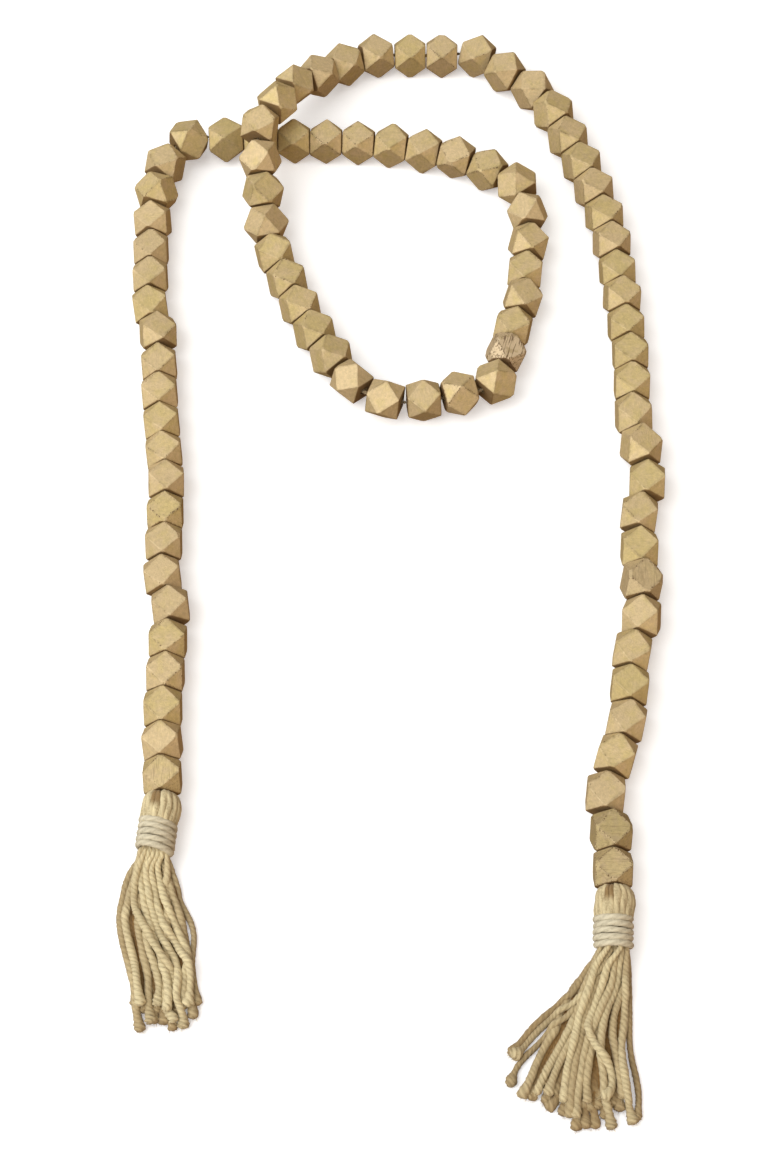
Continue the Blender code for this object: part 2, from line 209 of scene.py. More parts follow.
# A skirt yarn is squeezed thin in the neck, swells below it and opens at its cut tip
NECK_YARN_RADIUS = 1.02
SWELL_START = 4.0
SWELL_LENGTH = 17.0
TIP_FLARE = (0.35, 0.8)
FLARE_LENGTH = 6.5
TIP_LENGTH = 1.3
LEAST_TIP = 0.06
KNOB_LENGTH = 2.4
PLIES_OPEN = 0.3
PLIES_OPEN_LENGTH = 4

# Shades of the skirts: by side, and painted shade by layer and darker near the table, paler at the
# lowest tips
SKIRT_TONES = {"left": 0.12, "right": -0.08}
LAYER_SHADES = (0.0, 0.66, 0.85, 0.95)
BURIED_SHADE = 0.6
TONE_SPREAD = 0.14
SKIRT_LOW_SHADE = 0.45
LOW_SHADE_FROM, LOW_SHADE_OVER = 1.2, 5.0
PALE_TIP, PALE_LENGTH = 0.5, 16

# Loose fibres: how many at a tip and along a yarn, then length, spread and, at a tip, how far out
TIP_FIBRES = 16
SIDE_FIBRES = 22
TIP_FIBRE = ((1.2, 2.6), (0.0, 0.45), (0.1, 0.85))
SIDE_FIBRE = ((1.6, 4.0), (0.05, 0.3))
SIDE_FIBRE_OUT = 0.8
FIBRE_BEND = 0.35
FIBRE_RADIUS = 0.06
FIBRE_POINT = 0.35
FIBRE_SIDES = 3
FIBRE_NODES = 4
FIBRE_PALER = 0.15

# Twine of the bindings
TWINE_RADIUS = 1.27
TWINE_TURNS = 5
TWINE_STEP = 2.5
TWINE_TUCK = math.radians(112)
TWINE_PITCH = 11.0
TWINE_ANGLE = math.radians(6)
TUCK_DEPTH, TUCK_BEND = 1.7, 0.5
TWINE_PHASE, TWINE_TONE = 0.3, 0.7
TWINE_PLY_SHARE = 0.8
TWINE_LUMPS = 0.02
BINDING_RADIUS = 7.72
BINDING_START = 10.2
BINDING_SPAN = 14.1

# The last ring of a head's core, inside the neck
CORE_END = (BINDING_START + BINDING_SPAN - 3.0, 4.4)

# How far the twine strays and how often: in and out twice over, along the neck, in girth
TWINE_WAVES = ((0.07, 3), (0.05, 1.3), (0.16, 1.7), (0.04, 0.13))

# Which way each binding is wound, and how it slants sideways and over the top
BINDINGS = {"left": (-1, -0.5, 0.1), "right": (1, -0.4, 1.1)}

# Cord through the beads
CORD_RADIUS = 0.9
CORD_PITCH = 3.6
CORD_SIDES = 12
CORD_TONE = 0.5
CORD_PLY_SHARE = 0.55
CORD_STEP = 1.0
CORD_IN_HEAD = 2.0

# How the skirt yarns fall and lie against each other, in layers from 0, hidden, to 3, on top
LEVEL_HEIGHTS = (1.6, 4.3, 7.0, 9.5)
NODE_SPACING = 2.3
LAY_STEPS = 170
LAST_STEPS = 25
FALL_STEP = 0.07
STIFFNESS = 0.35
PULL_SEEN, PULL_HIDDEN = 0.45, 0.15
SEEN_CONTACT, HIDDEN_CONTACT = 0.82, 0.6
PUSH_SHARE = 0.4
SIDEWAYS_PUSH = 0.45
CLIMB_PUSH = 0.35

# Where the yarns leave the neck: heights of the four layers above its axis, the bundle's reach,
# how deep they are held in it, and where they begin to fall
ROOT_LIFTS = (-3.9, -1.2, 1.6, 4.3)
ROOT_REACH = 6.4
ROOT_SQUEEZE = 0.72
ROOT_DEPTH = 5
ROOT_PAST_BINDING = 0.3
ROOT_CLEAR = 2.0
HELD_LENGTH = 5.2
FALL_START, FALL_LENGTH = 5, 22

# A yarn that is first seen further than this from its root is buried under others until there
LONGEST_REACH = 12.0
BURIED_EXTRA = 2.0

# Skirt yarns: the layer each lies in, its way over the table as x, y, x, y and so on in tenths of
# a millimetre, and where they aren't plain its girth and how much wider its tip opens
YARNS = {
    "left": (
        (1, (-959, -1419, -973, -1455, -992, -1511, -1004, -1559, -1013, -1611, -1020, -1658,
         -1017, -1709, -1008, -1760, -995, -1811, -975, -1865, -956, -1919, -947, -1972, -941,
         -2022, -933, -2074, -919, -2123)),
        (2, (-999, -1680, -993, -1727, -979, -1781, -963, -1835, -949, -1889, -941, -1943, -933,
         -1988, -921, -2034)),
        (2, (-945, -1441, -954, -1489, -963, -1533, -970, -1581, -968, -1632, -954, -1676, -934,
         -1711, -909, -1750, -885, -1793, -861, -1831, -833, -1874, -809, -1920, -792, -1962, -791,
         -1992)),
        (2, (-944, -1471, -948, -1511, -944, -1551, -935, -1591, -925, -1631, -916, -1670, -906,
         -1709, -893, -1756, -872, -1803, -860, -1838, -844, -1874, -831, -1924, -823, -1973, -823,
         -2019, -825, -2056)),
        (2, (-932, -1433, -929, -1493, -921, -1553, -910, -1613, -895, -1668, -881, -1715, -865,
         -1754, -841, -1793, -821, -1824, -805, -1847, -794, -1895, -790, -1949, -793, -2003, -777,
         -2037, -764, -2074, -766, -2112)),
        (2, (-912, -1433, -909, -1493, -900, -1553, -888, -1613, -874, -1664, -859, -1703, -839,
         -1738, -815, -1773, -792, -1808, -768, -1843, -752, -1866, -746, -1910, -744, -1970, -749,
         -2035)),
        (1, (-949, -1717, -939, -1760, -932, -1803, -920, -1849, -905, -1896, -899, -1945, -896,
         -1995, -890, -2048, -880, -2097)),
        (1, (-923, -1756, -905, -1807, -886, -1857, -869, -1907, -858, -1953, -856, -1999, -860,
         -2033)),
        (2, (-890, -1441, -885, -1481, -877, -1533, -863, -1585, -846, -1632, -829, -1676, -810,
         -1715, -792, -1754, -774, -1793, -757, -1828, -760, -1875, -766, -1930, -772, -1990, -777,
         -2040)),
        (1, (-868, -1439, -858, -1491, -845, -1543, -827, -1591, -811, -1635, -796, -1674, -783,
         -1713, -774, -1756, -764, -1799, -770, -1846, -761, -1888, -751, -1934, -744, -1980, -735,
         -2025, -727, -2074)),
        (1, (-852, -1427, -836, -1483, -822, -1535, -808, -1583, -792, -1627, -772, -1666, -752,
         -1702, -740, -1741, -738, -1784, -743, -1830, -741, -1880, -733, -1930, -724, -1976, -713,
         -2022), 0.78, 0.1),
        (0, (-813, -2017, -807, -2070, -801, -2119)),
        (2, (-836, -2010, -830, -2044, -814, -2062, -799, -2075, -794, -2094)),
        (0, (-873, -2002, -874, -2047, -872, -2093)),
        (0, (-843, -2002, -837, -2051, -832, -2096)),
    ),
    "right": (
        (1, (760, -1826, 739, -1869, 716, -1907, 692, -1945, 670, -1980, 637, -2008, 600, -2034,
         564, -2064, 532, -2092, 502, -2124, 476, -2158, 454, -2190, 436, -2216), 0.85, 1.1),
        (2, (708, -1992, 685, -2015, 651, -2030, 618, -2049, 587, -2075, 557, -2101, 526, -2131,
         499, -2161, 478, -2188, 458, -2206, 435, -2218), 0.85, 1.1),
        (1, (691, -2034, 665, -2056, 635, -2076, 602, -2102, 572, -2132, 544, -2162, 516, -2190,
         486, -2216, 462, -2246, 442, -2286, 428, -2326), 0.8, 1.3),
        (3, (769, -1840, 758, -1878, 746, -1916, 733, -1954, 721, -1985, 707, -2019, 696, -2053,
         688, -2086, 677, -2124, 665, -2161, 654, -2198, 646, -2235, 637, -2275, 630, -2316, 625,
         -2356, 624, -2392)),
        (1, (791, -1822, 781, -1865, 768, -1907, 756, -1949, 739, -1987, 723, -2029, 710, -2074,
         701, -2120, 688, -2164, 676, -2215, 664, -2275, 652, -2335, 644, -2395, 642, -2440)),
        (3, (808, -1840, 802, -1878, 790, -1916, 779, -1954, 764, -1992, 748, -2026, 736, -2056,
         724, -2086, 719, -2116, 725, -2146, 740, -2176, 761, -2206, 781, -2235, 796, -2268, 802,
         -2305, 797, -2338, 781, -2363, 763, -2378)),
        (2, (822, -1897, 817, -1935, 804, -1973, 788, -2007, 774, -2037, 762, -2064, 751, -2090,
         723, -2154, 707, -2191, 697, -2232, 688, -2276, 681, -2320, 673, -2364, 666, -2407, 661,
         -2447)),
        (2, (845, -1839, 845, -1881, 839, -1924, 828, -1962, 812, -1996, 796, -2026, 786, -2056,
         779, -2086, 768, -2135, 760, -2190, 765, -2242, 769, -2294, 770, -2345, 775, -2393, 786,
         -2440, 796, -2483)),
        (2, (862, -1958, 860, -2011, 856, -2064, 849, -2116, 840, -2169, 837, -2221, 841, -2272,
         847, -2323, 852, -2375, 862, -2422, 874, -2465)),
        (1, (884, -1835, 882, -1885, 881, -1935, 879, -1988, 876, -2041, 874, -2094, 872, -2146,
         874, -2198, 880, -2243, 888, -2283, 894, -2323, 896, -2367, 892, -2411, 884, -2451), 0.8,
         0.1),
        (1, (869, -1896, 859, -1953, 838, -2010, 819, -2056, 811, -2105, 809, -2149, 815, -2190,
         824, -2235, 831, -2283, 834, -2331, 836, -2375)),
        (1, (736, -2168, 723, -2216, 714, -2265, 706, -2312, 706, -2356, 709, -2393)),
        (0, (748, -2183, 741, -2235, 737, -2287, 734, -2334, 736, -2372, 739, -2411)),
        (0, (693, -2375, 698, -2426, 700, -2480)),
        (0, (726, -2375, 731, -2426, 736, -2480)),
        (0, (682, -2389, 669, -2440, 662, -2487)),
        (1, (634, -2048, 618, -2093, 595, -2131, 583, -2146, 560, -2183, 541, -2220, 521, -2261,
         506, -2301, 487, -2338, 471, -2367)),
        (2, (648, -2131, 624, -2172, 601, -2209, 578, -2246, 557, -2283, 538, -2323, 521, -2360)),
        (2, (658, -2154, 634, -2198, 611, -2243, 593, -2283, 578, -2323, 562, -2364)),
        (0, (634, -2301, 611, -2353, 581, -2389, 558, -2407)),
        (0, (648, -2338, 631, -2389, 619, -2433)),
    ),
}

# The hidden lower yarns of each skirt: how many, then where the first and last pass and end
UNDER_YARNS = {
    "left": (8, (-99.0, -165.0), (-94.0, -203.0), (-80.5, -165.0), (-76.0, -202.5)),
    "right": (14, (66.0, -203.0), (48.5, -235.0), (83.5, -205.0), (82.5, -242.5)),
}
UNEVEN_TIPS, UNEVEN_TURN = 0.09, 2.4

# Camera
CAMERA_PLACE = (-0.5, -457.75, 828.25)
CAMERA_TILT = math.radians(27.5)
CAMERA_LENS = 71.0

# Lights, in metres and watts: name, direction, distance, size, power, colour
LIGHTS = (
    ("key", (-0.55, -0.2, 0.81), 2.2, 2.4, 38, (1.0, 1.0, 1.0)),
    ("left_fill", (-0.8, -0.5, 0.33), 2.4, 1.6, 5.5, (1.0, 1.0, 1.0)),
    ("warm_bounce", (0.66, -0.66, 0.2), 2.4, 1.8, 12, (1.0, 0.7, 0.46)),
)

# Floor, in metres, and the room round it
FLOOR_SIZE = 60.0
FLOOR_COLOR = (0.9, 0.9, 0.9, 1)
FLOOR_GLOW = 0.32
WHITE = (1, 1, 1, 1)
SKY_DIRECTION = (-0.4, -0.1, 0.91)
BRIGHT_SIDE = (0.74, 0.74, 0.73, 1)
WARM_SIDE = (0.36, 0.25, 0.14, 1)
DARK_SIDE = (0.16, 0.08, 0.03, 1)


def unit(vectors):
    return vectors / np.linalg.norm(vectors, axis=-1, keepdims=True)


def smoothstep(t):
    t = np.clip(t, 0, 1)
    return t * t * (3 - 2 * t)


def hump(at, middle, spread):
    return math.exp(-(((at - middle) / spread) ** 2))


def turns(sides):
    """Even steps round a circle."""
    return np.arange(sides) * 2 * math.pi / sides


def circle(right, up, sides):
    """Points of a circle of radius 1 across two directions."""
    return np.outer(np.cos(turns(sides)), right) + np.outer(np.sin(turns(sides)), up)


def lengths_along(points):
    """How far along a line each of its points lies."""
    return np.concatenate([[0], np.cumsum(np.linalg.norm(np.diff(points, axis=0), axis=1))])


def smooth_through(knots, rows, at):
    """The point at `at` on a smooth curve that passes through `rows` at `knots`."""
    knots = np.array(knots, float)
    rows = np.array(rows, float)
    last = len(knots) - 1
    k = int(np.clip(np.searchsorted(knots, at, side="right") - 1, 0, last - 1))

    def slope(i):
        before, after = max(i - 1, 0), min(i + 1, last)
        return (rows[after] - rows[before]) / (knots[after] - knots[before])

    span = knots[k + 1] - knots[k]
    t = (at - knots[k]) / span
    start = rows[k] * (1 + 2 * t) * (1 - t) ** 2 + slope(k) * span * t * (1 - t) ** 2
    end = rows[k + 1] * t * t * (3 - 2 * t) + slope(k + 1) * span * t * t * (t - 1)
    return start + end


# The layout of the beads


def bead_corners():
    """The twelve corners of an unworn bead, with the cord along its first axis."""
    half = np.array((BEAD_LENGTH, BEAD_ACROSS, BEAD_ACROSS)) / 2
    return np.array([np.insert(np.array(signs, float), flat, 0.0) * half
                     for flat in range(3) for signs in product(SIGNS, repeat=2)])


def climb(number):
    """How far the strand is lifted at a bead number to pass over itself."""
    return CROSSING_RISE * hump(number, CROSSING_BEAD, CROSSING_SPREAD)


def bead_frames(places, climbs, rolls):
    """Each bead's three axes: along the cord, to its right, and up through its top face."""
    along = np.vstack([places[1:], places[-1:]]) - np.vstack([places[:1], places[:-1]])
    along[:, 2] *= climbs > LEAST_CLIMB
    along = unit(along)
    right = unit(np.cross(along, UP))
    top = np.cross(right, along)
    c, s = np.cos(rolls)[:, None], np.sin(rolls)[:, None]
    return np.stack([along, right * c - top * s, top * c + right * s], axis=1)


def lift_to_table(places, climbs, corners):
    """Rests every bead on the table or on its climb, with no high step from one to the next."""
    reach_down = -corners[:, :, 2].min(axis=1)
    height = np.maximum(reach_down, np.where(climbs > LEAST_CLIMB, BEAD_ACROSS / 2 + climbs, 0))
    count = len(height)
    for back, order in ((-1, range(1, count)), (1, range(count - 2, -1, -1))):
        for i in order:
            least = height[i + back] - HIGHEST_STEP - abs(climbs[i] - climbs[i + back])
            height[i] = max(height[i], least)
    places[:, 2] = height


def parting_ways(places, frames):
    """Directions that may part a bead from the next one, and how far apart the two are in each."""
    ahead, behind = frames[:-1, 0], frames[1:, 0]
    ways = [ahead * (1 - t) + behind * t for t in QUARTERS]
    ways = unit(np.stack(ways + [places[1:] - places[:-1]], axis=1))
    return ways, np.einsum("nx,nkx->nk", places[1:] - places[:-1], ways)


def reaches(corners, ways):
    """How far each bead reaches towards the next, and the next one back, in each direction."""
    return (np.einsum("ncx,nkx->nkc", corners[:-1], ways).max(axis=2),
            np.einsum("ncx,nkx->nkc", -corners[1:], ways).max(axis=2))


def push_apart(places, frames, corners):
    """Moves neighbours apart, in the table's plane, until BEAD_GAP is left between them."""
    ways, apart = parting_ways(places, frames)
    reach, reach_back = reaches(corners, ways)
    lack = reach + reach_back + BEAD_GAP - apart
    easiest = lack.argmin(axis=1)
    rows = np.arange(len(lack))
    move = np.clip(lack[rows, easiest], 0, None)[:, None] * ways[rows, easiest] / 2
    places[:-1, :2] -= move[:, :2]
    places[1:, :2] += move[:, :2]


def settled_beads():
    """Where the beads lie: their centres and their axes."""
    numbers = np.arange(1, BEAD_COUNT + 1)
    knots = [row[0] for row in ROUTE]
    table = [row[1:] for row in ROUTE]
    route = np.array([smooth_through(knots, table, n) for n in numbers])
    climbs = np.array([climb(n) for n in numbers])
    rolls = np.radians([ROLLS.get(int(n), 0) for n in numbers])
    places = np.column_stack([route, BEAD_ACROSS / 2 + climbs])
    shape = bead_corners()
    for step in range(SETTLE_STEPS):
        frames = bead_frames(places, climbs, rolls)
        corners = shape @ frames
        lift_to_table(places, climbs, corners)
        push_apart(places, frames, corners)
        pull = PULL_TO_ROUTE * max(0.0, 1 - step / PULL_STEPS)
        places[:, :2] += pull * (route - places[:, :2])
    frames = bead_frames(places, climbs, rolls)
    lift_to_table(places, climbs, shape @ frames)
    rolls += np.radians([TURNED.get(int(n), 0) for n in numbers])
    return places - CENTRE, bead_frames(places, climbs, rolls)


def grown_halves(places, frames):
    """Half lengths of each bead, back and front, so that neighbours nearly touch."""
    halves = np.full((BEAD_COUNT, 2), BEAD_LENGTH / 2)
    shape = bead_corners()
    to_front = shape[:, 0] > 0
    ways, apart = parting_ways(places, frames)
    for _ in range(GROWTH_STEPS):
        stretch = np.ones((BEAD_COUNT, len(shape), 3))
        stretch[:, :, 0] = np.where(to_front, halves[:, 1:], halves[:, :1]) * 2 / BEAD_LENGTH
        reach, reach_back = reaches((shape * stretch) @ frames, ways)
        room = (apart - reach - reach_back).max(axis=1) - SEAM_GAP
        halves[:-1, 1] += room * GROWTH_SHARE
        halves[1:, 0] += room * GROWTH_SHARE
        halves = np.clip(halves, BEAD_LENGTH / 2, BEAD_LENGTH / 2 + MOST_GROWTH)
    return halves


def cord_points(places, frames):
    """The cord's route: a point in each gap between beads, and one beyond each end bead."""
    half = BEAD_LENGTH / 2
    starts = places - frames[:, 0] * half
    ends = places + frames[:, 0] * half
    points = [starts[0] - frames[0, 0] * (DOME_GAP / 2)]
    points += list((ends[:-1] + starts[1:]) / 2)
    points.append(ends[-1] + frames[-1, 0] * (DOME_GAP / 2))
    return np.array(points)


# Meshes


def in_scene(name, data):
    obj = bpy.data.objects.new(name, data)
    bpy.context.scene.collection.objects.link(obj)
    return obj


def mesh_object(name, points, faces):
    mesh = bpy.data.meshes.new(name)
    mesh.from_pydata(np.asarray(points).tolist(), [], faces)
    return in_scene(name, mesh)


def new_piece(name, points, faces, look, attributes):
    """A shown object from points in millimetres; attributes are (name, kind, values)."""
    obj = mesh_object(name, points * MM, faces)
    for title, kind, values in attributes:
        field = "vector" if kind == "FLOAT_VECTOR" else "value"
        store = obj.data.attributes.new(title, kind, "POINT")
        store.data.foreach_set(field, np.ascontiguousarray(values, np.float32).ravel())
    obj.data.materials.append(look)
    return obj


def finish_piece(obj, nodes):
    """Binds a piece to the garland's body and hides the solids it stands for."""
    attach(obj, "root")
    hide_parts(*nodes)


# Beads


def bead_planes(chance, wear, halves):
    """Outward directions and distances of the planes that bound one worn bead."""
    across = BEAD_ACROSS / 2
    half = {-1: np.array((halves[0], across, across)), 1: np.array((halves[1], across, across))}
    planes = []
    for axis, sign in product(range(3), SIGNS):
        normal = np.zeros(3)
        normal[axis] = sign
        slack = 0 if axis == 0 else chance.uniform(0, SQUARE_SLACK)
        planes.append((normal, half[sign][axis] - slack))
    for signs in product(SIGNS, repeat=3):
        normal = np.array(signs) / half[signs[0]]
        distance = 2 / np.linalg.norm(normal)
        normal = unit(unit(normal) + chance.normal(0, SAW_TILT, 3))
        planes.append((normal, distance + chance.uniform(-SAW_SLACK, SAW_SLACK)))
    for corner in bead_corners():
        if corner[0]:
            corner[0] = math.copysign(halves[int(corner[0] > 0)], corner[0])
        way = unit(unit(corner) + chance.normal(0, TIP_TILT, 3))
        depth = chance.uniform(*TIP_WEAR)
        depth += (chance.random() < wear * CHIP_CHANCE) * wear * CHIP_DEPTH
        planes.append((way, corner @ way - depth))
    return planes


def convex_form(planes):
    """A mesh of the solid that the planes bound."""
    normals = np.array([p[0] for p in planes])
    reach = np.array([p[1] for p in planes])
    threes = np.array(list(combinations(range(len(planes)), 3)))
    systems = normals[threes]
    solid = np.abs(np.linalg.det(systems)) > LEAST_CORNER
    points = np.linalg.solve(systems[solid], reach[threes][solid][..., None])[..., 0]
    inside = (points @ normals.T <= reach + TINY).all(axis=1)
    form = bmesh.new()
    for point in points[inside]:
        form.verts.new(point)
    bmesh.ops.remove_doubles(form, verts=form.verts, dist=SHORTEST_EDGE)
    bmesh.ops.convex_hull(form, input=form.verts)
    bmesh.ops.dissolve_limit(form, angle_limit=ONE_FACET, verts=form.verts, edges=form.edges)
    return form


def bead_mesh(chance, wear, halves):
    """Points and faces of one bead with softly rounded edges."""
    form = convex_form(bead_planes(chance, wear, halves))
    bmesh.ops.bevel(form, geom=form.edges[:], offset=EDGE_ROUND, offset_type="OFFSET",
                    segments=EDGE_STEPS, profile=0.5, affect="EDGES", clamp_overlap=True)
    bmesh.ops.remove_doubles(form, verts=form.verts, dist=SAME_POINT)
    bmesh.ops.recalc_face_normals(form, faces=form.faces)
    form.verts.index_update()
    points = np.array([v.co for v in form.verts])
    faces = [[v.index for v in face.verts] for face in form.faces]
    form.free()
    return points, faces


def tube_between(start, end):
    """Points and faces of the drill that cuts a bore."""
    along = unit(end - start)
    right = unit(np.cross(along, UP))
    ring = BORE_RADIUS * circle(right, np.cross(right, along), BORE_SIDES)
    first = list(range(BORE_SIDES))
    faces = [first, [k + BORE_SIDES for k in reversed(first)]]
    for k, n in zip(first, first[1:] + first[:1]):
        faces.append([n, k, k + BORE_SIDES, n + BORE_SIDES])
    return np.vstack([start + ring, end + ring]), faces


def drilled(points, faces, start, end):
    """The bead with the cord's bore cut through it, from start to end."""
    bead = mesh_object("bead", points, faces)
    way = unit(end - start) * BORE_OVERRUN
    bore = mesh_object("bore", *tube_between(start - way, end + way))
    cut = bead.modifiers.new("bore", "BOOLEAN")
    cut.operation = "DIFFERENCE"
    cut.solver = "MANIFOLD"
    cut.object = bore
    bpy.context.view_layer.update()
    graph = bpy.context.evaluated_depsgraph_get()
    done = bpy.data.meshes.new_from_object(bead.evaluated_get(graph))
    places = np.empty(len(done.vertices) * 3, np.float32)
    done.vertices.foreach_get("co", places)
    cut_faces = [list(p.vertices) for p in done.polygons]
    for obj in (bead, bore):
        bpy.data.objects.remove(obj)
    return places.reshape(-1, 3).astype(float), cut_faces


def flat_facets(mesh):
    """Keeps the wide facets flat and lets only the rounded edges and the bore shade softly."""
    count = len(mesh.polygons)
    areas = np.empty(count)
    normals = np.empty(count * 3)
    mesh.polygons.foreach_get("area", areas)
    mesh.polygons.foreach_get("normal", normals)
    normals = normals.reshape(-1, 3)
    widest = np.zeros(len(mesh.vertices), int)
    for k in np.argsort(areas):
        widest[list(mesh.polygons[k].vertices)] = k
    corners = []
    for polygon in mesh.polygons:
        own = normals[polygon.index]
        for near in normals[widest[list(polygon.vertices)]]:
            corners.append(near if near @ own > SOFT_CORNER else own)
    mesh.normals_split_custom_set(corners)


def make_beads(places, frames, route, look):
    """One piece for each solid of two beads, every bead sawn, worn and painted by chance."""
    chance = np.random.default_rng(SEED)
    halves = grown_halves(places, frames)
    for first in range(0, BEAD_COUNT, 2):
        inside = range(first, min(first + 2, BEAD_COUNT))
        points, faces, spans, own, looks, bare = [], [], [], [], [], []
        for i in inside:
            tone, wear = BEAD_LOOKS.get(
                i + 1, (chance.uniform(*TONE_RANGE), chance.uniform(*WEAR_RANGE)))
            shape, shape_faces = bead_mesh(chance, wear, halves[i])
            start, end = [frames[i] @ (route[k] - places[i]) for k in (i, i + 1)]
            shape, shape_faces = drilled(shape, shape_faces, start, end)
            reach = np.full((len(shape), 3), BEAD_ACROSS / 2)
            reach[:, 0] = np.where(shape[:, 0] > 0, halves[i, 1], halves[i, 0])
            grain = chance.permutation(3)
            shift = chance.uniform(-GRAIN_SHIFT, GRAIN_SHIFT, 3)
            hue = chance.uniform(0, 1)
            total = sum(len(p) for p in points)
            faces += [[v + total for v in face] for face in shape_faces]
            points.append(shape @ frames[i] + places[i])
            spans.append(shape / reach)
            own.append(shape[:, grain] + shift)
            looks.append(np.tile((tone, wear, hue), (len(shape), 1)))
            bare.append(np.full(len(shape), BARE.get(i + 1, 0.0)))
        numbers = "_".join(f"{i + 1:02d}" for i in inside)
        attributes = (
            ("bead_span", "FLOAT_VECTOR", np.vstack(spans)),
            ("bead_place", "FLOAT_VECTOR", np.vstack(own)),
            ("bead_look", "FLOAT_VECTOR", np.vstack(looks)),
            ("bead_bare", "FLOAT", np.concatenate(bare)),
        )
        piece = new_piece(f"painted_beads_{numbers}", np.vstack(points), faces, look, attributes)
        flat_facets(piece.data)
        finish_piece(piece, [f"beads_{numbers}"])


# Yarn, twine and cord


def resampled(points, step):
    """Points along a smooth curve through the given ones, a step apart."""
    points = np.asarray(points, float)
    knots = lengths_along(points)
    count = max(int(round(knots[-1] / step)), 2)
    return np.array([smooth_through(knots, points, s)
                     for s in np.linspace(0, knots[-1], count + 1)])


def carried_frames(points):
    """Sideways directions along a line that turn no more than the line does."""
    way = unit(np.gradient(points, axis=0))
    side = unit(np.cross(way[0], UP) + np.array((TINY, 0, 0)))
    sides = [side]
    for forward in way[1:]:
        side = unit(side - forward * (side @ forward))
        sides.append(side)
    sides = np.array(sides)
    return sides, np.cross(way, sides)


def rings_along(line, sizes, angles):
    """A ring of points round each point of a line, ring by ring."""
    right, top = carried_frames(line)
    rings = line[:, None, :] + sizes[..., None] * (
        np.cos(angles)[..., None] * right[:, None, :]
        + np.sin(angles)[..., None] * top[:, None, :])
    return rings.reshape(-1, 3)


def closed_faces(rings, sides, base):
    """Faces of a closed form whose points lie ring by ring, numbered from base."""
    r, k = np.meshgrid(np.arange(rings - 1), np.arange(sides), indexing="ij")
    n = (k + 1) % sides
    skin = np.stack([r * sides + k, r * sides + n, (r + 1) * sides + n, (r + 1) * sides + k],
                    axis=-1).reshape(-1, 4) + base
    first = base + np.arange(sides)
    return skin.tolist() + [first[::-1].tolist(), (first + (rings - 1) * sides).tolist()]


def ply_profile(angles, shares):
    """Radius, for a yarn of radius 1, at each place and angle, and how deep in a groove it is."""
    half = math.pi / PLIES
    near = (angles + half) % (2 * half) - half
    out = 1 - shares[:, None]
    radius = out * np.cos(near) + np.sqrt(shares[:, None] ** 2 - (out * np.sin(near)) ** 2)
    return radius, smoothstep(np.abs(near) / half)


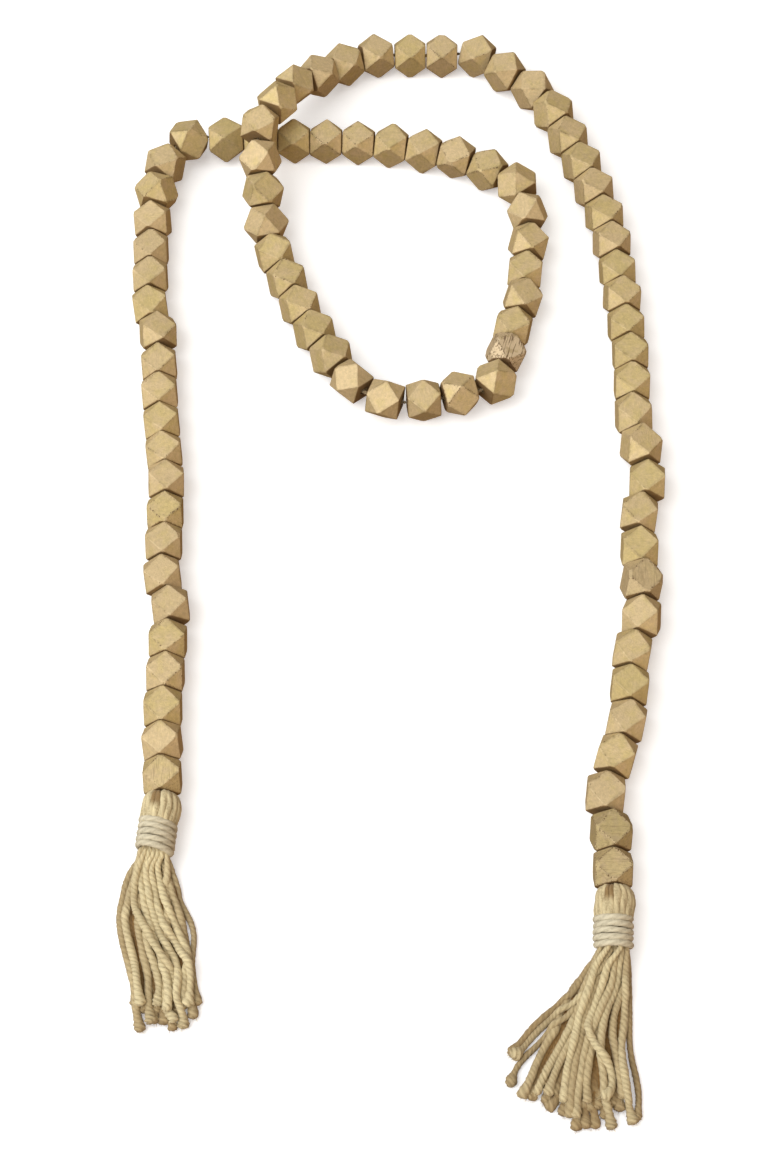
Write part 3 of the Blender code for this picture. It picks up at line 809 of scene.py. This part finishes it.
class Twisted:
    """Collects the points and faces of many twisted yarns that make one piece."""

    def __init__(self):
        self.points, self.faces, self.valley, self.place, self.tone = [], [], [], [], []
        self.total = 0

    def keep(self, points, sides, valley, tone, place=None):
        """Adds one closed form, ring by ring, with its grooves, its tone with any painted shade,
        and its fibres' place.
        """
        count = len(points)
        self.faces += closed_faces(count // sides, sides, self.total)
        self.points.append(points)
        self.valley.append(np.full(count, valley))
        self.place.append(points if place is None else place)
        self.tone.append(np.full(count, tone))
        self.total += count

    def add(self, line, radii, pitch, phase, tone, sides=YARN_SIDES, share=PLY_SHARE,
            opening=0.0, lumps=0.0, chance=None, low_shade=0.0):
        """One yarn along a line of points a step apart, with a radius at each."""
        count = len(line)
        run = lengths_along(line)
        around = turns(sides)
        shares = share - opening * smoothstep(1 - (run[-1] - run) / PLIES_OPEN_LENGTH)
        shares = shares + GROOVE_WANDER * np.sin(run / GROOVE_WAVE + 2 * phase)
        shape, valley = ply_profile(around, shares)
        twisted = run + TWIST_WANDER * np.sin(run / TWIST_WAVE + phase)
        turn = phase - 2 * math.pi * twisted / pitch
        size = radii[:, None] * shape
        if lumps:
            wobble = chance.normal(0, lumps, (count, sides))
            wobble = (wobble + np.roll(wobble, 1, 0) + np.roll(wobble, -1, 0)) / 3
            size = size * (1 + wobble)
        points = rings_along(line, size, around[None, :] + turn[:, None])
        points[:, 2] = np.maximum(points[:, 2], TABLE_GAP)
        shift = phase * PATTERN_SHIFT
        place = np.column_stack([np.tile(around * radii.max(), count) + shift,
                                 np.repeat(run, sides), np.full(count * sides, shift)])
        tones = np.repeat(np.broadcast_to(tone, count), sides)
        # Painted shade: points low near the table are darker
        tones = tones * (1 - low_shade * (1 - smoothstep((points[:, 2] - LOW_SHADE_FROM) / LOW_SHADE_OVER)))
        self.keep(points, sides, np.tile(valley, count), tones, place)

    def add_fibres(self, line, radii, tone, chance):
        """Loose fibres: a brush of them at the cut tip and a few along the sides."""
        ways = unit(np.gradient(line, axis=0))
        last = len(line) - 1
        starts = [last - int(chance.integers(1, 4)) for _ in range(TIP_FIBRES)]
        starts += list(chance.integers(last // 5, last - 2, SIDE_FIBRES))
        for n, k in enumerate(starts):
            out = unit(np.cross(ways[k], chance.normal(0, 1, 3)))
            spans = TIP_FIBRE if n < TIP_FIBRES else SIDE_FIBRE
            length, spread, *far = [chance.uniform(*span) for span in spans]
            start = line[k] + out * radii[k] * (far[0] if far else SIDE_FIBRE_OUT)
            bend = chance.normal(0, FIBRE_BEND, 3)
            steps = np.linspace(0, 1, FIBRE_NODES)[:, None]
            path = start + (ways[k] + out * spread) * steps * length + bend * steps**2
            path[:, 2] = np.maximum(path[:, 2], 2 * FIBRE_RADIUS)
            sizes = FIBRE_RADIUS * np.linspace(1.0, FIBRE_POINT, FIBRE_NODES)
            points = rings_along(path, sizes[:, None], turns(FIBRE_SIDES)[None, :])
            self.keep(points, FIBRE_SIDES, 0.0, min(tone + FIBRE_PALER, 1.0))

    def add_core(self, rings):
        """A plain form under the yarns, from rings of equal length, painted dark as shade."""
        points = np.vstack(rings)
        points[:, 2] = np.maximum(points[:, 2], TABLE_GAP)
        self.keep(points, len(rings[0]), 1.0, 0.0)

    def piece(self, name, look, node, slot):
        attributes = (
            ("ply_valley", "FLOAT", np.concatenate(self.valley)),
            ("ply_place", "FLOAT_VECTOR", np.vstack(self.place)),
            ("yarn_tone_and_shade", "FLOAT", np.concatenate(self.tone)),
        )
        obj = new_piece(name, np.vstack(self.points), self.faces, look, attributes)
        obj.data.shade_smooth()
        finish_piece(obj, [node])


def tassel_line(bead_end, lean):
    """The tassel's axis: where its dome starts and which way it points."""
    along = np.array((math.cos(lean), math.sin(lean), 0.0))
    start = bead_end + along * DOME_GAP
    start[2] = AXIS_HEIGHT
    return start, along


def under_yarns(side):
    """The hidden yarns, spread evenly over the skirt's lowest layer."""
    count, *ends = UNDER_YARNS[side]
    middle_first, tip_first, middle_last, tip_last = [np.array(end) for end in ends]
    rows = []
    for k in range(count):
        t = k / (count - 1)
        middle = middle_first + (middle_last - middle_first) * t
        tip = tip_first + (tip_last - tip_first) * t
        tip = tip + (tip - middle) * UNEVEN_TIPS * math.sin(UNEVEN_TURN * k)
        rows.append((0, np.array([middle + (tip - middle) * u for u in QUARTERS]), 1.0, 0.0))
    return rows


def skirt_rows(side):
    """Every yarn of a skirt: its layer, its way over the table, its girth, its wider opening."""
    rows = [(*row, 1.0, 0.0)[:4] for row in YARNS[side]]
    return [(level, np.array(way).reshape(-1, 2) / 10, *rest)
            for level, way, *rest in rows] + under_yarns(side)


def skirt_roots(rows, neck, along):
    """Where each skirt yarn leaves the neck: its place in a round bundle, by height and side."""
    right = np.cross(along, UP)
    side_of = [np.append(way[0], 0.0) @ right for _, way, _, _ in rows]
    roots = [None] * len(rows)
    for level, lift in enumerate(ROOT_LIFTS):
        inside = sorted((i for i, row in enumerate(rows) if row[0] == level),
                        key=side_of.__getitem__)
        half = math.sqrt(ROOT_REACH**2 - lift**2)
        for k, i in enumerate(inside):
            across = (k + 0.5) / len(inside) * 2 - 1
            roots[i] = neck + right * (across * half) + UP * lift
    return roots


def first_lines(rows, neck, along):
    """Each skirt yarn's nodes before it settles, their radii, which are held, and their layers."""
    lines = []
    for root, (level, way, girth, _) in zip(skirt_roots(rows, neck, along), rows):
        height = LEVEL_HEIGHTS[level]
        seen = np.column_stack([way, np.full(len(way), height)])
        seen = seen[(seen - neck) @ along > ROOT_CLEAR]
        tucked = root + (root - neck) * (ROOT_SQUEEZE - 1)
        held = [tucked - along * ROOT_DEPTH, tucked - along * (ROOT_DEPTH / 2), root]
        line = resampled(np.vstack([held, seen]), NODE_SPACING)
        run = np.arange(len(line)) * NODE_SPACING
        fall = smoothstep((run - FALL_START) / FALL_LENGTH)
        line[:, 2] = root[2] * (1 - fall) + height * fall
        levels = np.full(len(line), level)
        reach = np.linalg.norm(seen[0] - root)
        if reach > LONGEST_REACH:
            levels[run < reach + BURIED_EXTRA] = 0
        lines.append((line, yarn_radius(run, girth), run < HELD_LENGTH, levels))
    return lines


def laid_yarns(rows, neck, along):
    """The skirt's yarns from neck to tip, fallen on each other until none cuts into another."""
    lines, sizes, held, layers = zip(*first_lines(rows, neck, along))
    counts = [len(line) for line in lines]
    points, sizes, loose = np.vstack(lines), np.concatenate(sizes), ~np.concatenate(held)
    own = np.repeat(np.arange(len(rows)), counts)
    levels = np.concatenate(layers)
    targets = points.copy()
    pull = np.where(levels > 0, PULL_SEEN, PULL_HIDDEN)[loose, None]
    inner = loose.copy()
    inner[np.cumsum(counts) - 1] = False
    inner = np.flatnonzero(inner)
    contact = sizes * np.where(levels > 0, SEEN_CONTACT, HIDDEN_CONTACT)
    apart = contact[:, None] + contact[None, :]
    others = own[:, None] != own[None, :]
    for step in range(LAY_STEPS):
        if step < LAY_STEPS - LAST_STEPS:
            points[loose, 2] -= FALL_STEP
            points[loose, :2] += pull * (targets[loose, :2] - points[loose, :2])
            middle = (points[inner - 1] + points[inner + 1]) / 2
            points[inner] += STIFFNESS * (middle - points[inner])
        offset = points[:, None, :] - points[None, :, :]
        distance = np.linalg.norm(offset, axis=-1) + TINY
        a, b = np.nonzero(np.where(others, apart - distance, 0) > 0)
        lack = (apart - distance)[a, b]
        way = offset[a, b] / distance[a, b][:, None]
        way[:, :2] *= SIDEWAYS_PUSH
        way[:, 2] += np.sign(levels[a] - levels[b]) * CLIMB_PUSH
        push = unit(way + np.array((0, 0, TINY))) * lack[:, None] * PUSH_SHARE
        moved = np.zeros_like(points)
        np.add.at(moved, a, push)
        hits = np.bincount(a, minlength=len(points))[:, None]
        points[loose] += (moved / np.maximum(hits / 2, 1))[loose]
        points[:, 2] = np.maximum(points[:, 2], sizes)
    return zip(np.split(points, np.cumsum(counts)[:-1]), layers)


def yarn_radius(run, girth):
    """Radius along a skirt yarn that is squeezed thin inside the binding."""
    swell = smoothstep((run - SWELL_START) / SWELL_LENGTH)
    return NECK_YARN_RADIUS + (YARN_RADIUS * girth - NECK_YARN_RADIUS) * swell


def rounded(share, least):
    """How an end rounds off, as a factor that reaches 1 where share does."""
    return np.sqrt(np.clip(1 - (1 - np.clip(share, 0, 1)) ** 2, least, 1))


def brushed_tip(run, flare):
    """How a cut end opens and rounds off, as a factor along the yarn."""
    left = run[-1] - run
    opened = 1 + flare * smoothstep(1 - left / FLARE_LENGTH)
    end = TIP_LENGTH + KNOB_LENGTH * max(flare - TIP_FLARE[1], 0)
    return opened * rounded(left / end, LEAST_TIP)


def dome_shift(along, distance):
    """How the head leans sideways and rides up on the bead above it."""
    right = np.cross(along, UP)
    return (right * DOME_SWAY * hump(distance, SWAY_AT, DOME_SPREAD)
            + UP * DOME_RISE * hump(distance, 0, DOME_SPREAD))


def add_head(yarns, side, start, along, chance):
    """The folded yarns of the head over a core painted dark as shade, parted at one place, with
    painted shade on the yarns beside the parting.
    """
    right = np.cross(along, UP)
    yarns.add_core([
        start + along * d + dome_shift(along, d) + circle(right, UP, CORE_SIDES) * r * CORE_SHARE
        for d, r in DOME + (CORE_END,)])
    for k in range(HEAD_YARNS):
        angle = 2 * math.pi * (k + 0.5) / HEAD_YARNS + HEAD_GAPS[side]
        angle += chance.uniform(-HEAD_JITTER, HEAD_JITTER)
        out = right * math.sin(angle) + UP * math.cos(angle)
        line = [start + along * d + out * r + dome_shift(along, d) for d, r in DOME]
        line = resampled(line, YARN_STEP)
        run = np.arange(len(line)) * YARN_STEP
        parted = smoothstep(run / GAP_OPENS) * smoothstep((GAP_END - run) / GAP_CLOSES)
        parted = parted * (k in (0, HEAD_YARNS - 1))
        radii = HEAD_YARN_RADIUS + HEAD_YARN_SWELL * smoothstep(run / HEAD_SWELL_LENGTH)
        radii = radii * (1 - GAP_THIN * parted)
        # Painted shade on the two yarns beside the parting
        tone = chance.uniform(*HEAD_SHADES) * HEAD_TONES[side] * (1 - GAP_SHADE * parted)
        yarns.add(line, radii * rounded(run + HEAD_TIP, HEAD_TIP), HEAD_PITCH,
                  chance.uniform(*ANY_PHASE), tone, share=HEAD_PLY_SHARE, lumps=HEAD_LUMPS,
                  chance=chance)


def make_tassel(side, start, along, look):
    """Head of folded yarns and skirt of cut ones."""
    neck = start + along * (BINDING_START + BINDING_SPAN + ROOT_PAST_BINDING)
    chance = np.random.default_rng(SEED + len(side))
    yarns = Twisted()
    add_head(yarns, side, start, along, chance)
    rows = skirt_rows(side)
    for (level, _, girth, wider), (way, levels) in zip(rows, laid_yarns(rows, neck, along)):
        line = resampled(way, YARN_STEP)
        run = lengths_along(line)
        flare = chance.uniform(*TIP_FLARE) + wider
        wave = run * chance.uniform(*YARN_WAVE_TURNS) + chance.uniform(*ANY_PHASE)
        radii = yarn_radius(run, girth) * brushed_tip(run, flare) * (1 + YARN_WAVE * np.sin(wave))
        # Painted shade: lower layers and buried stretches of a yarn are darker
        shades = np.where(levels < level, BURIED_SHADE, LAYER_SHADES[level])
        tone = np.interp(np.linspace(0, 1, len(line)), np.linspace(0, 1, len(levels)), shades)
        tone = tone + chance.uniform(-TONE_SPREAD, TONE_SPREAD)
        tone = np.clip(tone + SKIRT_TONES[side] * (level > 0), 0, 1)
        paler_tip = PALE_TIP * smoothstep(1 - (run[-1] - run) / PALE_LENGTH) * (level == 0)
        yarns.add(line, radii, YARN_PITCH * chance.uniform(*PITCH_SPREAD),
                  chance.uniform(*ANY_PHASE), tone + paler_tip, opening=PLIES_OPEN,
                  lumps=YARN_LUMPS, chance=chance, low_shade=SKIRT_LOW_SHADE)
        yarns.add_fibres(line, radii, tone[-1], chance)
    yarns.piece(f"yarn_tassel_{side}", look, f"tassel_{side}", "cotton_yarn")


def make_binding(side, start, along, look):
    """Twine wound round the neck, its two ends tucked in underneath."""
    chance = np.random.default_rng(SEED + 3 * len(side))
    right = np.cross(along, UP)
    hand, slant, tilt = BINDINGS[side]
    begin, end = -TWINE_TUCK, 2 * math.pi * (TWINE_TURNS - 1) + TWINE_TUCK
    waves = chance.uniform(0, 2 * math.pi, 4)
    (in_out, often), (in_out_2, often_2), (down_up, seldom), (girth, slow) = TWINE_WAVES
    line = []
    for angle in np.arange(begin, end, TWINE_ANGLE):
        tucked = smoothstep(1 - min(angle - begin, end - angle) / TUCK_BEND)
        radius = BINDING_RADIUS - TWINE_RADIUS - TUCK_DEPTH * tucked
        radius += (in_out * math.sin(often * angle + waves[0])
                   + in_out_2 * math.sin(often_2 * angle + waves[1]))
        down = BINDING_START + TWINE_RADIUS + TWINE_STEP * (angle - begin) / (2 * math.pi)
        down += down_up * math.sin(seldom * angle + waves[2])
        across, over = math.sin(hand * angle), math.cos(hand * angle)
        down += slant * across + tilt * over
        line.append(start + along * down + (right * across + UP * over) * radius)
    line = resampled(line, YARN_STEP)
    radii = TWINE_RADIUS * (1 + girth * np.sin(np.arange(len(line)) * slow + waves[3]))
    twine = Twisted()
    twine.add(line, radii, TWINE_PITCH, TWINE_PHASE, TWINE_TONE, share=TWINE_PLY_SHARE,
              lumps=TWINE_LUMPS, chance=chance)
    twine.piece(f"twine_binding_{side}", look, f"binding_{side}", "cotton_twine")


def make_cord(route, left_head, right_head, look):
    line = resampled(np.vstack([[left_head], route, [right_head]]), CORD_STEP)
    cord = Twisted()
    cord.add(line, np.full(len(line), CORD_RADIUS), CORD_PITCH, 0.0, CORD_TONE, CORD_SIDES,
             CORD_PLY_SHARE)
    cord.piece("threaded_cord", look, "cord", "threading_cord")


# Finishes


class Nodes:
    """A node tree with short calls to add and join nodes."""

    def __init__(self, tree):
        self.tree = tree

    def add(self, kind, settings=(), **inputs):
        node = self.tree.nodes.new(kind)
        for name, value in dict(settings).items():
            setattr(node, name, value)
        self.fill(node, **inputs)
        return node

    def fill(self, node, **inputs):
        for name, value in inputs.items():
            self.feed(node, name.replace("_", " "), value)

    def feed(self, node, name, value):
        """Links an output to an input, or sets a plain value on it."""
        socket = node.inputs[name]
        if isinstance(value, bpy.types.NodeSocket):
            self.tree.links.new(value, socket)
        else:
            socket.default_value = value

    def math(self, operation, first, second=0.0, clamp=False):
        node = self.add("ShaderNodeMath", {"operation": operation, "use_clamp": clamp})
        self.feed(node, 0, first)
        self.feed(node, 1, second)
        return node.outputs[0]

    def plus(self, first, second):
        return self.math("ADD", first, second)

    def minus(self, first, second):
        return self.math("SUBTRACT", first, second)

    def times(self, first, second):
        return self.math("MULTIPLY", first, second)

    def swing(self, noise, amount):
        """A noise made to swing round zero, by an amount."""
        return self.times(self.minus(noise, 0.5), amount)

    def vector(self, operation, first, second=None):
        node = self.add("ShaderNodeVectorMath", {"operation": operation})
        self.feed(node, 0, first)
        if second is not None:
            self.feed(node, 1, second)
        return node.outputs["Value" if operation == "DOT_PRODUCT" else "Vector"]

    def noise(self, place, scale, detail, roughness):
        return self.add("ShaderNodeTexNoise", Vector=place, Scale=scale, Detail=detail,
                        Roughness=roughness).outputs[0]

    def mix(self, factor, first, second, blend="MIX"):
        node = self.add("ShaderNodeMix", {"data_type": "RGBA", "blend_type": blend,
                                          "clamp_factor": True})
        for socket, value in ((0, factor), (6, first), (7, second)):
            self.feed(node, socket, value)
        return node.outputs[2]

    def ramp(self, value, low, high):
        return self.add("ShaderNodeMapRange", {"interpolation_type": "SMOOTHSTEP"}, Value=value,
                        From_Min=low, From_Max=high).outputs[0]

    def attribute(self, name, output):
        return self.add("ShaderNodeAttribute", {"attribute_name": name}).outputs[output]

    def group(self, tree, **inputs):
        return self.add("ShaderNodeGroup", {"node_tree": tree}, **inputs).outputs

    def scaled(self, color, factor):
        """A colour multiplied by a grey factor."""
        grey = self.add("ShaderNodeCombineColor", Red=factor, Green=factor, Blue=factor)
        return self.mix(1.0, color, grey.outputs[0], "MULTIPLY")


def new_group(name, inputs, outputs):
    """An empty node group; an input with no value of its own is a vector."""
    tree = bpy.data.node_groups.new(name, "ShaderNodeTree")
    for title, value in inputs.items():
        kind = "NodeSocketVector" if value is None else "NodeSocketFloat"
        socket = tree.interface.new_socket(title, in_out="INPUT", socket_type=kind)
        if value is not None:
            socket.default_value = value
    for title in outputs:
        tree.interface.new_socket(title, in_out="OUTPUT", socket_type="NodeSocketFloat")
    inside = tree.nodes.new("NodeGroupInput").outputs
    return Nodes(tree), inside, tree.nodes.new("NodeGroupOutput")


def drift_group():
    """Slow change of shade over a surface: a factor round 1 to multiply a colour by."""
    inputs = {"Place": None, "Scale": 0.2, "Amount": 0.1}
    nodes, inside, out = new_group("shade_drift", inputs, ["Shade"])
    noise = nodes.noise(inside["Place"], inside["Scale"], 3.0, 0.55)
    nodes.feed(out, "Shade", nodes.plus(nodes.swing(noise, inside["Amount"]), 1.0))
    return nodes.tree


def fibre_group():
    """Cotton fibres along a ply: a shade factor with painted shade in the grooves, a height for
    bump, and how patchy that painted shade is.
    """
    inputs = {"Place": None, "Valley": 0.0, "Depth": 0.5, "Fibre Scale": 3.0}
    nodes, inside, out = new_group("cotton_fibres", inputs, ["Shade", "Height", "Stain"])
    stretched = nodes.vector("MULTIPLY", inside["Place"], (1.0, 0.22, 1.0))
    fibres = nodes.noise(stretched, inside["Fibre Scale"], 4.0, 0.65)
    uneven = nodes.ramp(nodes.noise(inside["Place"], 1.3, 3.0, 0.6), 0.32, 0.68)
    # Painted shade in the grooves between the plies, patchy along them
    valley = nodes.times(inside["Valley"], inside["Depth"])
    valley = nodes.times(valley, nodes.plus(uneven, 0.35))
    shade = nodes.plus(nodes.minus(1.07, valley), nodes.swing(fibres, 0.7))
    nodes.fill(out, Shade=shade, Height=fibres, Stain=uneven)
    return nodes.tree


def edge_group():
    """How near a point of a bead is to one of its edges, from 1 on the edge to 0 inside."""
    nodes, inside, out = new_group("bead_edges", {"Span": None, "Width": 0.1}, ["Edge"])
    size = nodes.vector("ABSOLUTE", inside["Span"])
    x, y, z = nodes.add("ShaderNodeSeparateXYZ", Vector=size).outputs
    from_square = nodes.minus(1.0, nodes.math("MAXIMUM", nodes.math("MAXIMUM", x, y), z))
    total = nodes.plus(nodes.plus(x, y), z)
    from_corner = nodes.times(nodes.minus(2.0, total), 0.577)
    distance = nodes.math("MAXIMUM", from_square, from_corner)
    share = nodes.math("DIVIDE", distance, inside["Width"])
    nodes.feed(out, "Edge", nodes.math("SUBTRACT", 1.0, share, clamp=True))
    return nodes.tree


def new_look(name):
    look = bpy.data.materials.new(name)
    look.use_nodes = True
    return look, Nodes(look.node_tree), look.node_tree.nodes["Principled BSDF"]


def cotton_look(name, drift, fibres):
    """Undyed cotton: fibres along the plies, painted shade between them and on lower and hidden
    yarns, each yarn a little different.
    """
    pale, shaded_color, depth, fineness = COTTONS[name]
    look, nodes, shader = new_look(name)
    place = nodes.attribute("ply_place", "Vector")
    valley = nodes.attribute("ply_valley", "Fac")
    tone = nodes.attribute("yarn_tone_and_shade", "Fac")
    fibre = nodes.group(fibres, Place=place, Valley=valley, Depth=depth, Fibre_Scale=fineness)
    slow = nodes.group(drift, Place=place, Scale=0.15, Amount=0.4)
    # Painted shade: grooves, lower layers and the head's core lean towards the shaded colour
    groove = nodes.times(nodes.times(valley, fibre["Stain"]), 0.35)
    color = nodes.mix(groove, nodes.mix(tone, shaded_color, pale), shaded_color)
    color = nodes.scaled(color, nodes.times(fibre["Shade"], slow["Shade"]))
    bump = nodes.add("ShaderNodeBump", Height=fibre["Height"], Strength=0.5, Distance=0.00025)
    nodes.fill(shader, Base_Color=color, Normal=bump.outputs[0], Roughness=0.95,
               Specular_IOR_Level=0.12, Sheen_Weight=0.12, Sheen_Roughness=0.6)
    return look


def paint_look(drift, edges):
    """Matte gold paint brushed over wood: faint grain, specks, rubbed edges and small chips, with
    painted shade on the end faces between beads.
    """
    look, nodes, shader = new_look("gold_paint")
    place = nodes.attribute("bead_place", "Vector")
    span = nodes.attribute("bead_span", "Vector")
    bare = nodes.attribute("bead_bare", "Fac")
    own = nodes.attribute("bead_look", "Vector")
    tone, wear, hue = nodes.add("ShaderNodeSeparateXYZ", Vector=own).outputs
    edge = nodes.group(edges, Width=0.11, Span=span)["Edge"]
    slow = nodes.group(drift, Place=place, Scale=0.12, Amount=0.16)["Shade"]
    grain = nodes.noise(nodes.vector("MULTIPLY", place, GRAIN_STRETCH), *GRAIN)
    scratch = nodes.noise(nodes.vector("MULTIPLY", place, SCRATCH_STRETCH), *SCRATCHES)
    mottle, specks, patches, pores = [
        nodes.noise(place, *pattern) for pattern in (MOTTLE, SPECKS, PATCHES, PORES)]

    def laid(over, mask, name, color):
        return nodes.mix(nodes.times(mask, SHOWS[name]), over, color)

    yellow = nodes.ramp(nodes.plus(patches, nodes.times(hue, 0.3)), *SETS_IN["yellow"])
    shade = nodes.plus(nodes.swing(grain, SHOWS["grain"]), nodes.swing(mottle, SHOWS["mottle"]))
    shade = nodes.times(nodes.plus(shade, 1.0), slow)
    color = nodes.scaled(nodes.mix(yellow, GOLD_PINK, GOLD_YELLOW), nodes.times(shade, tone))
    rub = nodes.times(edge, nodes.ramp(mottle, *SETS_IN["rubbed"]))
    color = laid(color, rub, "rubbed", RUBBED_EDGE)
    dirt = nodes.times(edge, nodes.ramp(patches, *SETS_IN["dirt"]))
    color = laid(color, dirt, "dirt", WORN_WOOD)
    rubbed_off = nodes.ramp(nodes.plus(patches, nodes.times(bare, 0.3)), *SETS_IN["bare"])
    rubbed_off = nodes.times(rubbed_off, nodes.ramp(bare, 0.1, 0.9))
    color = laid(color, rubbed_off, "bare", BARE_WOOD)
    scratch = nodes.ramp(scratch, *SETS_IN["scratch"])
    scratch = nodes.times(scratch, nodes.ramp(bare, 0.0, 0.9))
    color = laid(color, scratch, "scratch", WORN_WOOD)
    chip = nodes.plus(nodes.times(edge, 0.19), nodes.times(wear, 0.13))
    chip = nodes.ramp(nodes.plus(chip, specks), *SETS_IN["chip"])
    color = nodes.mix(chip, color, WORN_WOOD)
    # Painted shade on the end faces, where each bead meets the next
    along = nodes.add("ShaderNodeSeparateXYZ", Vector=span).outputs[0]
    painted_end_shade = nodes.ramp(nodes.math("ABSOLUTE", along), *SETS_IN["bore"])
    color = laid(color, painted_end_shade, "bore", PAINTED_END_SHADE)
    color = laid(color, nodes.ramp(pores, *SETS_IN["pore"]), "pore", WORN_WOOD)
    height = nodes.plus(nodes.times(grain, 0.5), nodes.times(mottle, 0.7))
    height = nodes.minus(height, nodes.times(chip, 0.9))
    bump = nodes.add("ShaderNodeBump", Height=height, Strength=0.7, Distance=0.0003)
    nodes.fill(shader, Base_Color=color, Normal=bump.outputs[0], Metallic=0.4,
               Roughness=nodes.plus(nodes.times(grain, 0.2), 0.5))
    return look


# Room


def make_floor():
    half = FLOOR_SIZE / 2
    corners = [(-half, -half, 0), (half, -half, 0), (half, half, 0), (-half, half, 0)]
    floor = mesh_object("floor", corners, [(0, 1, 2, 3)])
    look, nodes, shader = new_look("pale_floor")
    nodes.fill(shader, Base_Color=FLOOR_COLOR, Roughness=0.9, Emission_Color=WHITE,
               Emission_Strength=FLOOR_GLOW)
    floor.data.materials.append(look)
    floor.visible_diffuse = False
    floor.visible_glossy = False


def make_light(name, direction, distance, size, power, color):
    lamp = bpy.data.lights.new(name, "AREA")
    lamp.color = color
    lamp.shape = "DISK"
    lamp.size = size
    lamp.energy = power
    obj = in_scene(name, lamp)
    way = Vector(direction).normalized()
    obj.location = way * distance
    obj.rotation_euler = way.to_track_quat("Z", "Y").to_euler()


def make_sky():
    """Light from all round: bright above and behind the key, warm and dark towards the table."""
    world = bpy.data.worlds.new("studio")
    bpy.context.scene.world = world
    world.use_nodes = True
    nodes = Nodes(world.node_tree)
    place = nodes.add("ShaderNodeTexCoord").outputs["Generated"]
    height = nodes.ramp(nodes.vector("DOT_PRODUCT", place, SKY_DIRECTION), -0.55, 0.9)
    low = nodes.mix(nodes.math("MULTIPLY", height, 2.2, clamp=True), DARK_SIDE, WARM_SIDE)
    color = nodes.mix(nodes.ramp(height, 0.3, 1.0), low, BRIGHT_SIDE)
    nodes.fill(world.node_tree.nodes["Background"], Color=color, Strength=1.0)
    bpy.context.scene.view_settings.view_transform = "Standard"


def make_camera():
    data = bpy.data.cameras.new("camera")
    data.lens = CAMERA_LENS
    data.sensor_width = 36
    data.clip_start = 0.01
    camera = in_scene("camera", data)
    camera.location = Vector(CAMERA_PLACE) * MM
    camera.rotation_euler = (CAMERA_TILT, 0, 0)
    bpy.context.scene.camera = camera


def main():
    places, frames = settled_beads()
    route = cord_points(places, frames)
    drift, fibres = drift_group(), fibre_group()
    gold = paint_look(drift, edge_group())
    yarn, twine, cord = [cotton_look(name, drift, fibres) for name in COTTONS]
    make_beads(places, frames, route, gold)
    half = BEAD_LENGTH / 2
    ends = {"left": places[0] - frames[0, 0] * half, "right": places[-1] + frames[-1, 0] * half}
    inner = []
    for side, end in ends.items():
        start, along = tassel_line(end, LEANS[side])
        make_tassel(side, start, along, yarn)
        make_binding(side, start, along, twine)
        inner.append(start + along * CORD_IN_HEAD)
    make_cord(route, *inner, cord)
    make_floor()
    for light in LIGHTS:
        make_light(*light)
    make_sky()
    make_camera()


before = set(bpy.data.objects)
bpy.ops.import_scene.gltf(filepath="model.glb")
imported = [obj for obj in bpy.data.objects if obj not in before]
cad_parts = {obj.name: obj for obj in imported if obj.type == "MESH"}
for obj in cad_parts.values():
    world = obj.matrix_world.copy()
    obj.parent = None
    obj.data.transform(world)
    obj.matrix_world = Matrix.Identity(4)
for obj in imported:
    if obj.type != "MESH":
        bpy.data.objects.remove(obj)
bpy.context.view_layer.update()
main()
